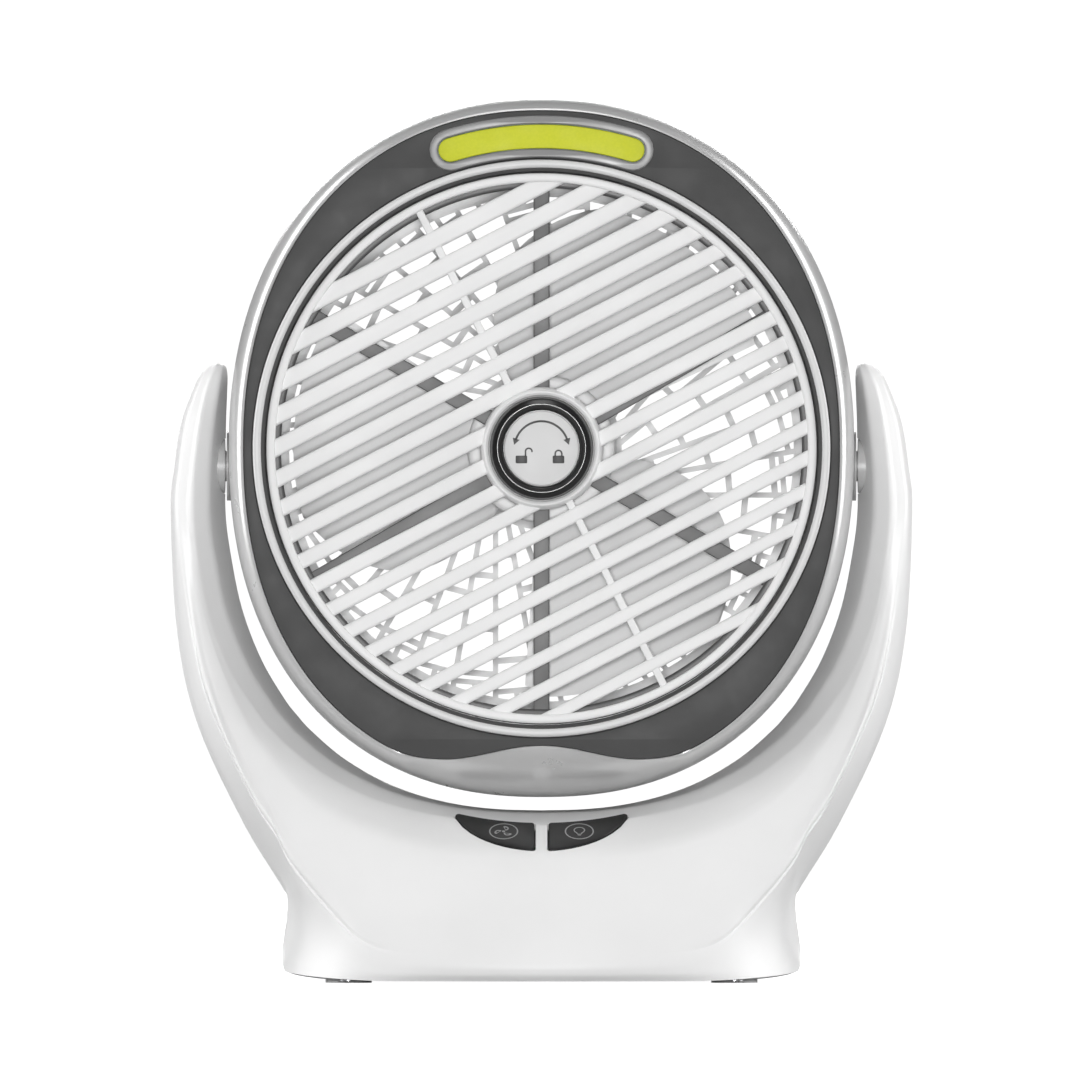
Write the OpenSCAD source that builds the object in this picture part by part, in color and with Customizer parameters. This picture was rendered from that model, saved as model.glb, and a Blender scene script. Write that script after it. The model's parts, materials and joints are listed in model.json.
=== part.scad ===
/* [Stand] */
// Widest measure across the stand, over the two arms
stand_width = 193.4; // [190:0.1:196]
// Depth of the foot from front to back
stand_depth = 100; // [96:1:104]
// Height of the tops of the arms
arm_top = 161; // [156:1:164]
// Clear width between the arms
cradle_width = 164.4; // [164.2:0.1:165]
// Height of the lowest point of the cradle
cradle_floor = 44.4; // [43:0.1:44.6]
// Wall thickness of the stand's shells
stand_wall = 2.4; // [2:0.1:2.6]

/* [Head] */
// Height of the tilt axis
pivot_height = 134; // [132:0.5:135]
// Width of the head
head_width = 162.4; // [161:0.1:162.6]
// Height of the head
head_height = 182; // [180:0.5:182]
// Height of the head's lowest point
head_bottom = 48; // [48:0.1:48.5]
// Front face of the head, in front of the tilt axis
head_front = 28; // [27:0.5:28]
// Rear face of the head, behind the tilt axis
head_rear = 31; // [30.5:0.5:32]
// Wall thickness of the head's shell
head_wall = 2.2; // [1.8:0.1:2.2]

/* [Fan] */
// Height of the impeller's axis
hub_height = 138.5; // [138:0.1:139]
// Radius at the tips of the blades
blade_tip_r = 64.6; // [60:0.1:66]
// Number of blades
blade_count = 3; // [3:1:4]
// Number of slats across the front grille
slat_count = 18; // [14:1:20]
// Distance from one slat to the next
slat_pitch = 7.27; // [6.8:0.01:7.4]
// Angle at which the slats rise to the right
slat_angle = 27.3; // [0:0.1:45]
// Number of spokes in the inner guard
spoke_count = 6; // [3:1:8]

/* [Lamp and buttons] */
// Half angle of the lamp's arc
lamp_half_angle = 17; // [12:0.5:18]
// Lean of the button panel from the horizontal
panel_angle = 32; // [30:1:34]
// Travel of a button
button_travel = 1.2; // [0.8:0.1:1.4]

/* [Hidden] */

$fn = 96;
tiny = 0.01;
white = [0.93, 0.93, 0.93];
light_grey = [0.80, 0.80, 0.80];
mid_grey = [0.60, 0.60, 0.60];
dark_grey = [0.33, 0.33, 0.33];
black = [0.10, 0.10, 0.10];
steel = [0.70, 0.71, 0.73];

// ---- frames and small shapes -------------------------------------------------------------

// A flat shape drawn in X and Z, given thickness from y0 to y1
module along_y(y0, y1)
    translate([0, y1, 0])
        rotate([90, 0, 0])
            linear_extrude(y1 - y0)
                children();

// A flat shape drawn in Y and Z, given thickness from x0 to x1
module along_x(x0, x1)
    translate([x0, 0, 0])
        rotate([90, 0, 90])
            linear_extrude(x1 - x0)
                children();

// Turned shapes about the impeller's axis: local Z is depth, front is negative
module about_hub()
    translate([0, 0, hub_height])
        rotate([-90, 0, 0])
            children();

// Turned shapes about the tilt axis, local Z points outward on the side given by side
module about_pivot(side)
    translate([0, 0, pivot_height])
        rotate([0, 90 * side, 0])
            children();

// A plain ring or tube
module ring(outer_r, inner_r, z0, z1)
    translate([0, 0, z0])
        difference() {
            cylinder(r = outer_r, h = z1 - z0);
            translate([0, 0, -1])
                cylinder(r = inner_r, h = z1 - z0 + 2);
        }

module disc(r, z0, z1)
    translate([0, 0, z0])
        cylinder(r = r, h = z1 - z0);

// A pan-head screw with its head at the origin and its shank along -Z
module screw(head_r, head_h, shank_r, shank_l) {
    cylinder(r = head_r, h = head_h, $fn = 32);
    translate([0, 0, -shank_l])
        cylinder(r = shank_r, h = shank_l + tiny, $fn = 32);
}

module mirrored_x() {
    children();
    mirror([1, 0, 0]) children();
}

module mirrored_xy() {
    mirrored_x() children();
    mirror([0, 1, 0]) mirrored_x() children();
}

// ---- outlines ----------------------------------------------------------------------------

outline_points = 72;

// A superellipse whose upper and lower halves have their own height and fullness
function egg(half_w, up, down, n_up, n_down) = [
    for (i = [0 : outline_points - 1])
        let (
            c = cos(360 * i / outline_points),
            s = sin(360 * i / outline_points),
            h = s >= 0 ? up : down,
            n = s >= 0 ? n_up : n_down
        )
        [half_w * sign(c) * pow(abs(c), 2 / n), h * sign(s) * pow(abs(s), 2 / n)]
];

head_half_w = head_width / 2;
head_half_h = head_height / 2;
head_mid = head_bottom + head_half_h;
head_fullness_up = 2.17;
head_fullness_down = 2.27;

// The head's outline, drawn in by the inset
module head_outline(inset)
    translate([0, head_mid])
        polygon(egg(head_half_w - inset, head_half_h - inset, head_half_h - inset,
            head_fullness_up, head_fullness_down));

cradle_half_w = cradle_width / 2;
cradle_depth = pivot_height - cradle_floor;
cradle_fullness = 2.4;

// The space between the arms, open at the top, grown by the margin
module cradle_outline(margin)
    translate([0, pivot_height]) {
        polygon(egg(cradle_half_w + margin, cradle_depth + margin, cradle_depth + margin,
            cradle_fullness, cradle_fullness));
        translate([-cradle_half_w - margin, 0])
            square([2 * cradle_half_w + 2 * margin, head_height]);
    }

foot_half_w = 67.2;
foot_top_z = 11;
waist_half_w = 64.4;
waist_z = 18.7;
widest_z = 115;
side_r = 159.7;
stand_bottom = 0.8;
stand_half_w = stand_width / 2;
arm_mid_x = 84.2;
side_steps = 24;
arm_shoulder_z = 152;
side_start = asin((waist_z - widest_z) / side_r);
side_end = asin((arm_shoulder_z - widest_z) / side_r);

// The stand's outer side is one long arc from the waist to the shoulder of the arm
function side_point(i) =
    let (a = side_start + (side_end - side_start) * i / side_steps)
    [stand_half_w - side_r + side_r * cos(a), widest_z + side_r * sin(a)];

half_stand = concat(
    [[0, stand_bottom], [foot_half_w - 5, stand_bottom], [foot_half_w - 1.2, 2.4],
        [foot_half_w, 5], [foot_half_w, foot_top_z], [waist_half_w + 0.9, 15]],
    [for (i = [0 : side_steps]) side_point(i)],
    [[89.4, 155.8], [86.6, 158.9], [85.4, arm_top - 0.7], [arm_mid_x, arm_top],
        [82.9, arm_top - 0.7], [cradle_half_w, arm_top - 2.6], [0, arm_top - 2.6]]);

module stand_outline() {
    polygon(half_stand);
    mirror([1, 0]) polygon(half_stand);
}

// The button panel is a flat slope: it starts at panel_start and rises to the cradle's rim
panel_start = [-stand_depth / 2 + 12, 34];
panel_length = 18.6;
panel_end = panel_start + panel_length * [cos(panel_angle), sin(panel_angle)];
arm_half_depth = 17;

half_depth = stand_depth / 2;
front_profile = [[-half_depth + 3, stand_bottom], [-half_depth, 3.5], [-half_depth, 9],
    [-half_depth + 1.4, 15], [-half_depth + 4.2, 22], [-half_depth + 8, 29], panel_start,
    panel_end, [-21.2, 50], [-20, 62], [-18.6, 90], [-arm_half_depth, pivot_height],
    [-15, 148], [-11, 157], [-6, arm_top], [0, arm_top]];

module side_outline() {
    polygon(concat(front_profile, [[0, stand_bottom]]));
    mirror([1, 0]) polygon(concat(front_profile, [[0, stand_bottom]]));
}

foot_corner_r = 28;
foot_lean = 20;

// The foot's corners are round in plan, and the rounding leans outward to run into the arms
module foot_rounding(side, inset)
    mirror([side, 0, 0])
        translate([foot_half_w, 0, 0])
            rotate([0, foot_lean, 0])
                translate([0, 0, -stand_depth])
                    linear_extrude(arm_top + 2 * stand_depth)
                        offset(delta = -inset)
                            foot_plan();

module foot_plan()
    hull() {
        for (side = [-1, 1])
            translate([-foot_corner_r, side * (half_depth - foot_corner_r)])
                circle(r = foot_corner_r, $fn = 96);
        translate([-4 * stand_depth, -half_depth])
            square([stand_depth, stand_depth]);
    }

// Everything within the stand's skin, drawn in by the inset
module stand_block(inset)
    intersection() {
        along_y(-half_depth - 1, half_depth + 1)
            offset(delta = -inset)
                difference() {
                    stand_outline();
                    cradle_outline(0);
                }
        along_x(-stand_half_w - 1, stand_half_w + 1)
            offset(delta = -inset)
                side_outline();
        foot_rounding(0, inset);
        foot_rounding(1, inset);
    }

// ---- the stand ---------------------------------------------------------------------------

bush_outer_r = 7;
bush_bore_r = 4.05;
pin_r = 4;
bush_x0 = cradle_half_w + 0.1;
bush_x1 = bush_x0 + 4.3;
bush_flange_r = 8;

module bush_holes()
    for (side = [-1, 1])
        about_pivot(side)
            disc(bush_outer_r + 0.05, cradle_half_w - 1, cradle_half_w + stand_wall + 1);

plate_z0 = 1.6;
plate_z1 = 3.8;
plate_half_w = 62;
plate_half_d = 44.5;
plate_corner = 24;

module plate_outline(margin)
    offset(r = plate_corner)
        square([2 * (plate_half_w + margin - plate_corner),
            2 * (plate_half_d + margin - plate_corner)], center = true);

// One half of the stand: front is -1, rear is 1
module stand_half(side) {
    difference() {
        intersection() {
            difference() {
                stand_block(0);
                stand_block(stand_wall);
            }
            translate([-stand_half_w - 1, side > 0 ? 0 : -half_depth - 1, -1])
                cube([2 * stand_half_w + 2, half_depth + 1, arm_top + 2]);
        }
        translate([0, 0, -1])
            linear_extrude(stand_wall + 3)
                plate_outline(0.2);
        bush_holes();
    }
}

module on_panel()
    translate([0, panel_start[0], panel_start[1]])
        rotate([panel_angle, 0, 0])
            children();

button_bar = 3.7;
lower_edge_r = 23.5;
upper_edge_r = 54.3;
upper_edge_v = 12.9;
button_v = 0.8;
button_corner = 0.9;

// The right-hand button's outline in the plane of the panel
module button_outline(margin)
    translate([0, button_v])
        offset(r = button_corner + margin)
            offset(delta = -button_corner)
                difference() {
                    intersection() {
                        translate([0, lower_edge_r])
                            circle(r = lower_edge_r, $fn = 72);
                        translate([button_bar / 2, 0])
                            square([lower_edge_r, 2 * lower_edge_r]);
                    }
                    translate([0, upper_edge_v + upper_edge_r])
                        circle(r = upper_edge_r, $fn = 144);
                }

button_gap = 0.35;
switch_x = 8.6;
switch_v = 7.6;

module base_front_shell()
    color(white)
        difference() {
            stand_half(-1);
            on_panel()
                for (side = [0, 1])
                    mirror([side, 0, 0])
                        translate([0, 0, -stand_wall - 1])
                            linear_extrude(stand_wall + 2)
                                button_outline(button_gap);
        }

socket_z = 13;
socket_w = 9;
socket_h = 3.3;
socket_corner = 1.6;
charge_lamp_x = 11;
charge_lamp_r = 1.5;
shell_screw_places = [[44, 22], [-44, 22], [86.9, 112], [-86.9, 112]];

module socket_outline(margin)
    translate([0, socket_z])
        offset(r = socket_corner + margin)
            square([socket_w - 2 * socket_corner, socket_h - 2 * socket_corner], center = true);

module base_rear_shell()
    color(white)
        difference() {
            stand_half(1);
            along_y(half_depth - 8, half_depth + 1)
                socket_outline(0.3);
            along_y(half_depth - 8, half_depth + 1)
                translate([charge_lamp_x, socket_z])
                    circle(r = charge_lamp_r + 0.1, $fn = 32);
            for (p = shell_screw_places)
                along_y(0, half_depth + 1)
                    translate(p)
                        circle(r = 2.4, $fn = 32);
        }

module shell_screws()
    color(steel)
        for (p = shell_screw_places)
            translate([p[0], p[1] > 50 ? 16.2 : 44, p[1]])
                rotate([-90, 0, 0])
                    screw(2.2, 1.4, 1.2, p[1] > 50 ? 12 : 30);

plate_screw_x = 50;
plate_screw_y = 34;
foot_x = 50;
foot_y = 22;
foot_r = 6;

module base_bottom_plate()
    color(light_grey)
        difference() {
            translate([0, 0, plate_z0])
                linear_extrude(plate_z1 - plate_z0)
                    plate_outline(0);
            mirrored_xy()
                translate([foot_x, foot_y, 0])
                    cylinder(r = foot_r + 0.1, h = plate_z0 + 0.9);
            mirrored_xy()
                translate([plate_screw_x, plate_screw_y, 0])
                    cylinder(r = 1.35, h = 10, $fn = 32);
        }

module rubber_feet()
    color(dark_grey)
        mirrored_xy()
            translate([foot_x, foot_y, 0])
                cylinder(r = foot_r, h = plate_z0 + 0.85);

module bottom_screws()
    color(steel)
        mirrored_xy()
            translate([plate_screw_x, plate_screw_y, plate_z0])
                rotate([180, 0, 0])
                    screw(2.4, 0.9, 1.25, 9);

cell_r = 9.2;
cell_length = 65.2;
cell_y = 10;
cell_z = 14.6;

module battery_cells()
    color("steelblue")
        for (side = [-1, 1])
            translate([-cell_length / 2, side * cell_y, cell_z])
                rotate([0, 90, 0]) {
                    cylinder(r = cell_r, h = cell_length);
                    translate([0, 0, cell_length])
                        cylinder(r = 2.8, h = 1.1, $fn = 32);
                }

module battery_holder()
    color(black)
        difference() {
            translate([-cell_length / 2 - 3.4, -2 * cell_y - 1.6, plate_z1 + 0.1])
                cube([cell_length + 6.8, 4 * cell_y + 3.2, 12]);
            for (side = [-1, 1])
                translate([-cell_length / 2 - 0.2, side * cell_y, cell_z])
                    rotate([0, 90, 0])
                        cylinder(r = cell_r + 0.15, h = cell_length + 1.7);
            translate([-cell_length / 2 - 0.2, -cell_y, cell_z])
                cube([cell_length + 1.7, 2 * cell_y, 10]);
        }

board_z = 27;

module control_board()
    color("seagreen") {
        translate([-32, -14, board_z])
            cube([64, 34, 1.6]);
        translate([-24, 0, board_z + 1.6 - tiny])
            cube([10, 8, 1.8]);
        translate([6, 2, board_z + 1.6 - tiny])
            cube([7, 7, 3]);
        translate([-4, 12, board_z + 1.6 - tiny])
            cylinder(r = 2.6, h = 6, $fn = 32);
        translate([20, -8, board_z + 1.6 - tiny])
            cube([8, 14, 4.5]);
    }

module charge_socket()
    color(steel)
        difference() {
            along_y(half_depth - 9, half_depth - 1.7)
                socket_outline(0);
            along_y(half_depth - 8, half_depth)
                socket_outline(-0.45);
        }

module charge_lamp()
    color("palegreen")
        translate([charge_lamp_x, half_depth - 7, socket_z])
            rotate([-90, 0, 0])
                cylinder(r = charge_lamp_r, h = 6, $fn = 32);

button_board_n = -9.6;

module button_board()
    color("seagreen")
        on_panel()
            translate([-19, 2, button_board_n])
                cube([38, 12, 1.2]);

module button_switches()
    color(black)
        on_panel()
            for (side = [-1, 1])
                translate([side * switch_x, switch_v, button_board_n + 1.25]) {
                    translate([-3, -3, 0])
                        cube([6, 6, 2.6]);
                    cylinder(r = 1.7, h = 3.6, $fn = 32);
                }

module pivot_bushes()
    color(light_grey)
        for (side = [-1, 1])
            about_pivot(side)
                difference() {
                    union() {
                        disc(bush_outer_r, bush_x0, bush_x1);
                        disc(bush_flange_r, bush_x0 + stand_wall + 0.1, bush_x1);
                    }
                    disc(bush_bore_r, bush_x0 - 1, bush_x1 + 1);
                }

// ---- the buttons -------------------------------------------------------------------------

button_top = 0.4;
button_skin = 1.8;
button_stem_r = 2.2;
stem_foot = button_board_n + 1.25 + 3.6 + button_travel + 0.15;

// A button cap with a rim that guides it and a post that meets its switch
module button() {
    translate([0, 0, button_top - button_skin])
        linear_extrude(button_skin)
            button_outline(0);
    translate([switch_x, switch_v, stem_foot])
        cylinder(r = button_stem_r, h = button_top - button_skin - stem_foot + tiny, $fn = 32);
}

module fan_button()
    color(black)
        on_panel()
            mirror([1, 0, 0]) button();

module light_button()
    color(black)
        on_panel()
            button();

// ---- the head's housing ------------------------------------------------------------------

// Pairs of depth and inset that give the head's barrel shape
head_barrel = [[-head_front, 3.5], [-head_front + 1.2, 2.6], [-20, 1], [-11, 0], [11, 0],
    [20, 1.6], [head_rear - 4, 5], [head_rear, 9.5]];
head_hollow = [[-head_front + head_wall, 6.2], [-11, head_wall], [10, head_wall],
    [20, 4], [head_rear - head_wall, 9.5]];

// A closed barrel through the stations: one outline at each depth
module head_barrel_solid(stations) {
    count = outline_points;
    last = len(stations) - 1;
    points = [
        for (s = stations)
            let (half_h = head_half_h - s[1])
            for (p = egg(head_half_w - s[1], half_h, half_h, head_fullness_up, head_fullness_down))
                [p[0], s[0], head_mid + p[1]]];
    sides = [
        for (k = [0 : last - 1])
            for (i = [0 : count - 1])
                let (a = k * count + i, b = k * count + (i + 1) % count)
                for (t = [[a, b, b + count], [a, b + count, a + count]])
                    t];
    front = [for (i = [0 : count - 1]) count - 1 - i];
    rear = [for (i = [0 : count - 1]) last * count + i];
    polyhedron(points, concat(sides, [front, rear]), convexity = 3);
}

bezel_inset = 4;
wave_low = 57.8;
wave_rise = 3.7;
wave_half_w = 26;
wave_steps = 12;

// The bezel's lower edge lifts in a smooth wave over the middle
module wave_cut()
    polygon(concat(
        [[-head_half_w, 0], [-head_half_w, wave_low]],
        [for (i = [-wave_steps : wave_steps])
            let (x = wave_half_w * i / wave_steps)
            [x, wave_low + wave_rise / 2 * (1 + cos(180 * x / wave_half_w))]],
        [[head_half_w, wave_low], [head_half_w, 0]]));

module bezel_outline(margin)
    offset(delta = margin)
        difference() {
            head_outline(bezel_inset);
            wave_cut();
        }

rear_opening_r = 67.5;
pin_boss_r = 9;
head_screw_r = 76;
head_screw_angles = [45, 135, 225, 315];

module head_shell()
    color(white)
        difference() {
            head_barrel_solid(head_barrel);
            head_barrel_solid(head_hollow);
            along_y(-head_front - 1, -head_front + head_wall + 1)
                bezel_outline(0.1);
            about_hub()
                disc(rear_opening_r, head_rear - head_wall - 2, head_rear + 1);
            for (side = [-1, 1])
                about_pivot(side)
                    disc(pin_boss_r + 0.05, head_half_w - 5, head_half_w + 2);
            about_hub()
                for (a = head_screw_angles)
                    rotate([0, 0, a])
                        translate([head_screw_r, 0, 0]) {
                            disc(1.5, head_rear - head_wall - 2, head_rear + 1, $fn = 32);
                            disc(2.9, head_rear - 1.3, head_rear + 1, $fn = 32);
                        }
        }

duct_r = 71.8;
duct_outer_r = 74.3;
duct_rear = 12;
groove_front = -head_front + 2;
post_r = 3.2;
post_rear = head_rear - head_wall - 0.2;
lamp_r = 80.8;
lamp_half_h = 3.1;
arc_steps = 24;
cap_steps = 8;

// A bent slot with round ends, symmetric about the top of the hub's circle
function bent_slot(r, half_h, half_angle) = concat(
    [for (i = [0 : arc_steps])
        let (a = 90 - half_angle + 2 * half_angle * i / arc_steps)
        (r + half_h) * [cos(a), sin(a)]],
    [for (i = [1 : cap_steps - 1])
        let (a = 90 + half_angle, b = a + 180 * i / cap_steps)
        r * [cos(a), sin(a)] + half_h * [cos(b), sin(b)]],
    [for (i = [0 : arc_steps])
        let (a = 90 + half_angle - 2 * half_angle * i / arc_steps)
        (r - half_h) * [cos(a), sin(a)]],
    [for (i = [1 : cap_steps - 1])
        let (a = 90 - half_angle, b = a + 180 + 180 * i / cap_steps)
        r * [cos(a), sin(a)] + half_h * [cos(b), sin(b)]]);

module lamp_slot(half_h)
    translate([0, hub_height])
        polygon(bent_slot(lamp_r, half_h, lamp_half_angle));

module front_bezel()
    color(dark_grey) {
        difference() {
            along_y(-head_front, groove_front)
                bezel_outline(0);
            about_hub()
                disc(75, -head_front - 1, groove_front + 1);
            along_y(-head_front - 1, groove_front + 1)
                lamp_slot(lamp_half_h + 1.1);
        }
        about_hub()
            difference() {
                union() {
                    disc(duct_outer_r, groove_front + 0.2, duct_rear);
                    disc(76.4, groove_front - 0.4, groove_front + 1);
                    for (a = head_screw_angles)
                        rotate([0, 0, a])
                            translate([head_screw_r, 0, 0])
                                disc(post_r, groove_front, post_rear, $fn = 32);
                }
                disc(duct_r, groove_front - 1, duct_rear + 1);
                ring(75, duct_r - 1, groove_front - 1, groove_front);
                for (a = head_screw_angles)
                    rotate([0, 0, a])
                        translate([head_screw_r, 0, 0])
                            disc(1.3, 8, post_rear + 1, $fn = 32);
            }
    }

module head_screws()
    color(steel)
        about_hub()
            for (a = head_screw_angles)
                rotate([0, 0, a])
                    translate([head_screw_r, 0, head_rear - 1.25])
                        screw(2.7, 1.1, 1.25, 18);

module trim_ring()
    color(light_grey)
        about_hub()
            ring(74.8, 72.7, -head_front - 1.6, groove_front - 0.05);

lamp_rim = 5.4;

module lamp_surround()
    color(mid_grey) {
        along_y(-head_front - 1, -head_front - tiny)
            difference() {
                lamp_slot(lamp_rim);
                lamp_slot(lamp_half_h + 0.2);
            }
        along_y(-head_front - 0.5, groove_front + 0.6)
            difference() {
                lamp_slot(lamp_half_h + 1);
                lamp_slot(lamp_half_h + 0.2);
            }
    }

module lamp_diffuser()
    color([0.78, 0.80, 0.19])
        along_y(-head_front - 0.7, groove_front)
            lamp_slot(lamp_half_h);

module lamp_board()
    color(white)
        along_y(groove_front + 0.7, groove_front + 1.9)
            lamp_slot(lamp_half_h + 0.6);

module pivot_pins()
    color(light_grey)
        for (side = [-1, 1])
            about_pivot(side) {
                disc(10, 76.2, 78);
                disc(pin_boss_r, 78 - tiny, cradle_half_w - 0.35);
                disc(pin_r, cradle_half_w - 0.35 - tiny, 90.2);
            }

washer_x0 = bush_x1 + 0.35;
nut_x0 = washer_x0 + 0.65;

module friction_washers()
    color(steel)
        for (side = [-1, 1])
            about_pivot(side)
                ring(6.2, pin_r + 0.03, washer_x0, nut_x0 - 0.05);

module pivot_nuts()
    color(steel)
        for (side = [-1, 1])
            about_pivot(side)
                difference() {
                    translate([0, 0, nut_x0])
                        cylinder(r = 6.2, h = 2.4, $fn = 6);
                    disc(pin_r + 0.03, nut_x0 - 1, nut_x0 + 4);
                }

// ---- grilles and guard -------------------------------------------------------------------

grille_r = 71.3;
grille_inner_r = 69;
collar_r = 14.8;
recess_r = 13.7;
bore_r = 5.06;
grille_front = -head_front - 0.6;
slat_front = -27.6;
slat_back = -23.4;
collar_front = -29.8;
collar_floor = -24.4;
collar_back = -22;
first_slat = 60.7;
slat_wide = 4.7;
slat_narrow = 3.3;

function slat_offset(i) = first_slat - slat_pitch * i;
function slat_width(i) = slat_wide + (slat_narrow - slat_wide) * i / (slat_count - 1);

// Slats and their cross rib, seen from the front with the hub at the origin
module slats()
    rotate(slat_angle) {
        for (i = [0 : slat_count - 1])
            let (half_l = sqrt(pow(grille_inner_r + 1, 2) - pow(abs(slat_offset(i)) + 2, 2)))
            translate([-half_l, slat_offset(i) - slat_width(i) / 2])
                square([2 * half_l, slat_width(i)]);
        translate([-1, -grille_inner_r - 0.6])
            square([2, 2 * grille_inner_r + 1.2]);
    }

module front_grille()
    color(white) {
        difference() {
            union() {
                about_hub() {
                    ring(grille_r, grille_inner_r, grille_front, -20.5);
                    disc(collar_r, collar_front, collar_back);
                }
                along_y(slat_front, slat_back)
                    translate([0, hub_height])
                        offset(delta = tiny)
                            slats();
            }
            about_hub() {
                disc(recess_r, collar_front - 1, collar_floor);
                disc(bore_r, collar_floor - 1, collar_back + 1);
            }
        }
    }

guard_r = 71.6;
guard_inner_r = 67.6;
guard_front = -20;
guard_back = -15;
spoke_w = 4.15;
guard_boss_r = 13;
lug_half_l = 9;
lug_w = 3.2;

module spoke_frame()
    color(dark_grey)
        about_hub()
            difference() {
                union() {
                    ring(guard_r, guard_inner_r, guard_front, guard_back);
                    disc(guard_boss_r, guard_front, guard_back);
                    for (i = [0 : spoke_count - 1])
                        rotate([0, 0, 360 / spoke_count * i + 90])
                            translate([guard_boss_r - 2, -spoke_w / 2, guard_front + 0.4])
                                cube([guard_inner_r - guard_boss_r + 3.5, spoke_w, 3.8]);
                }
                disc(bore_r, guard_front - 1, guard_back + 1);
                translate([-lug_w / 2 - 0.3, -lug_half_l - 0.3, guard_front - 1])
                    cube([lug_w + 0.6, 2 * lug_half_l + 0.6, 7]);
            }

mesh_r = 66;
mesh_front = 28.4;
mesh_hub_r = 21;
mesh_rib = 1.4;
mesh_count = 36;
mesh_swirl_r = 12;
mesh_circles = [29.3, 36.2, 43, 49.5, 55.5, 61];

// A ring drawn flat, for the mesh
module flat_ring(mid_r, width)
    difference() {
        circle(r = mid_r + width / 2, $fn = 144);
        circle(r = mid_r - width / 2, $fn = 144);
    }

mesh_step = 360 / mesh_count;
mesh_outer_circle = 63.4;

// A straight bar across the gap between two swirled ribs, at a distance from the hub
module cross_bar(i, r, width)
    let (half_l = r * tan(mesh_step / 2))
    rotate(mesh_step * (i + 0.5))
        translate([mesh_swirl_r - half_l, sqrt(r * r - mesh_swirl_r * mesh_swirl_r) - width / 2])
            square([2 * half_l, width]);

// Swirled ribs with staggered cross bars, and short ribs round the edge
module mesh_pattern()
    offset(delta = tiny) {
        circle(r = mesh_hub_r);
        flat_ring((mesh_r + rear_opening_r - 0.2) / 2, rear_opening_r - 0.2 - mesh_r);
        for (i = [0 : mesh_count - 1]) {
            rotate(mesh_step * i)
                translate([mesh_swirl_r - mesh_rib / 2, mesh_hub_r - 8])
                    square([mesh_rib, mesh_r - mesh_hub_r + 7.7]);
            rotate(mesh_step * (i + 0.5))
                translate([mesh_swirl_r - mesh_rib / 2, mesh_outer_circle - 1.6])
                    square([mesh_rib, 3.8]);
            cross_bar(i, mesh_outer_circle, 1.4);
            for (k = [i % 2 : 2 : len(mesh_circles) - 1])
                cross_bar(i, mesh_circles[k], 1.6);
        }
    }

motor_screw_r = 9;

module rear_grille()
    color(light_grey) {
        difference() {
            union() {
                along_y(mesh_front, head_rear)
                    translate([0, hub_height])
                        mesh_pattern();
                about_hub() {
                    disc(mesh_hub_r - 0.6, 26.5, mesh_front + 0.4);
                    ring(rear_opening_r - 0.5, mesh_r + 0.4, 26.8, mesh_front + 0.4);
                    ring(70.5, mesh_r + 0.4, 26.8, mesh_front);
                }
            }
            about_hub() {
                for (a = [0, 120, 240])
                    rotate([0, 0, a])
                        translate([motor_screw_r, 0, 0]) {
                            disc(1.4, 20, head_rear + 1, $fn = 32);
                            disc(2.6, head_rear - 1.8, head_rear + 1, $fn = 32);
                        }
                for (a = head_screw_angles)
                    rotate([0, 0, a])
                        translate([head_screw_r, 0, 0])
                            disc(post_r + 3, 20, head_rear + 1, $fn = 32);
                disc(3.2, 20, 28.4);
            }
        }
    }

// ---- motor -------------------------------------------------------------------------------

motor_r = 14.5;
motor_front = 3;
motor_back = 24;
shaft_r = 1.5;
bearing_bore_r = 1.54;

module motor_can()
    color(steel)
        about_hub()
            difference() {
                union() {
                    disc(motor_r, motor_front, motor_back);
                    disc(4, motor_front - 1.2, motor_front + 1);
                }
                disc(motor_r - 0.9, motor_front + 0.9, motor_back + 1);
                disc(3.1, motor_front - 2, motor_front + 2);
            }

module motor_magnets()
    color(black)
        about_hub()
            ring(motor_r - 1, 10.6, motor_front + 2.5, motor_back - 3);

module motor_end_cap()
    color(light_grey)
        about_hub()
            difference() {
                union() {
                    disc(motor_r, motor_back + 0.05, 26.4);
                    disc(motor_r - 1, motor_back - 1.6, motor_back + 0.1);
                }
                disc(3.1, motor_back - 3, 27);
                for (a = [0, 120, 240])
                    rotate([0, 0, a])
                        translate([motor_screw_r, 0, 0])
                            disc(1.3, motor_back - 3, 27, $fn = 32);
            }

module motor_bearings()
    color("peru")
        about_hub() {
            ring(3.05, bearing_bore_r, motor_front - 0.8, motor_front + 1.4);
            ring(3.05, bearing_bore_r, motor_back - 1.4, 26.2);
        }

module motor_screws()
    color(steel)
        about_hub()
            for (a = [0, 120, 240])
                rotate([0, 0, a])
                    translate([motor_screw_r, 0, head_rear - 1.75])
                        screw(2.4, 1.1, 1.25, 6);

// ---- impeller ----------------------------------------------------------------------------

impeller_hub_r = 19.2;
impeller_front = -11;
impeller_back = 9;
blade_root_r = 18;
blade_edge_angle = -94;
blade_front_y = -9.5;
blade_depth = 17;
blade_thick = 1.5;
blade_cols = 12;
blade_rows = 8;

// The swept edge's angle at a given radius: it leans back towards the tip
function sweep_angle(r) =
    let (t = (r - blade_root_r) / (blade_tip_r - blade_root_r))
    -5 - 8 * t - 31 * t * t * t;

// A point on the blade: u runs from the straight edge to the swept one, v from root to tip
function blade_point(u, v, side) =
    let (
        r = blade_root_r + (blade_tip_r - blade_root_r) * v,
        a = -(blade_edge_angle + (sweep_angle(r) - blade_edge_angle) * u),
        lean = 1 - 0.35 * v,
        y = blade_front_y + blade_depth * (0.5 + (u - 0.5) * lean)
    )
    [r * cos(a), r * sin(a), y + side * blade_thick / 2];

blade_row = blade_rows + 1;
blade_side = (blade_cols + 1) * blade_row;

function blade_index(i, j, s) = s * blade_side + i * blade_row + j;

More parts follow.
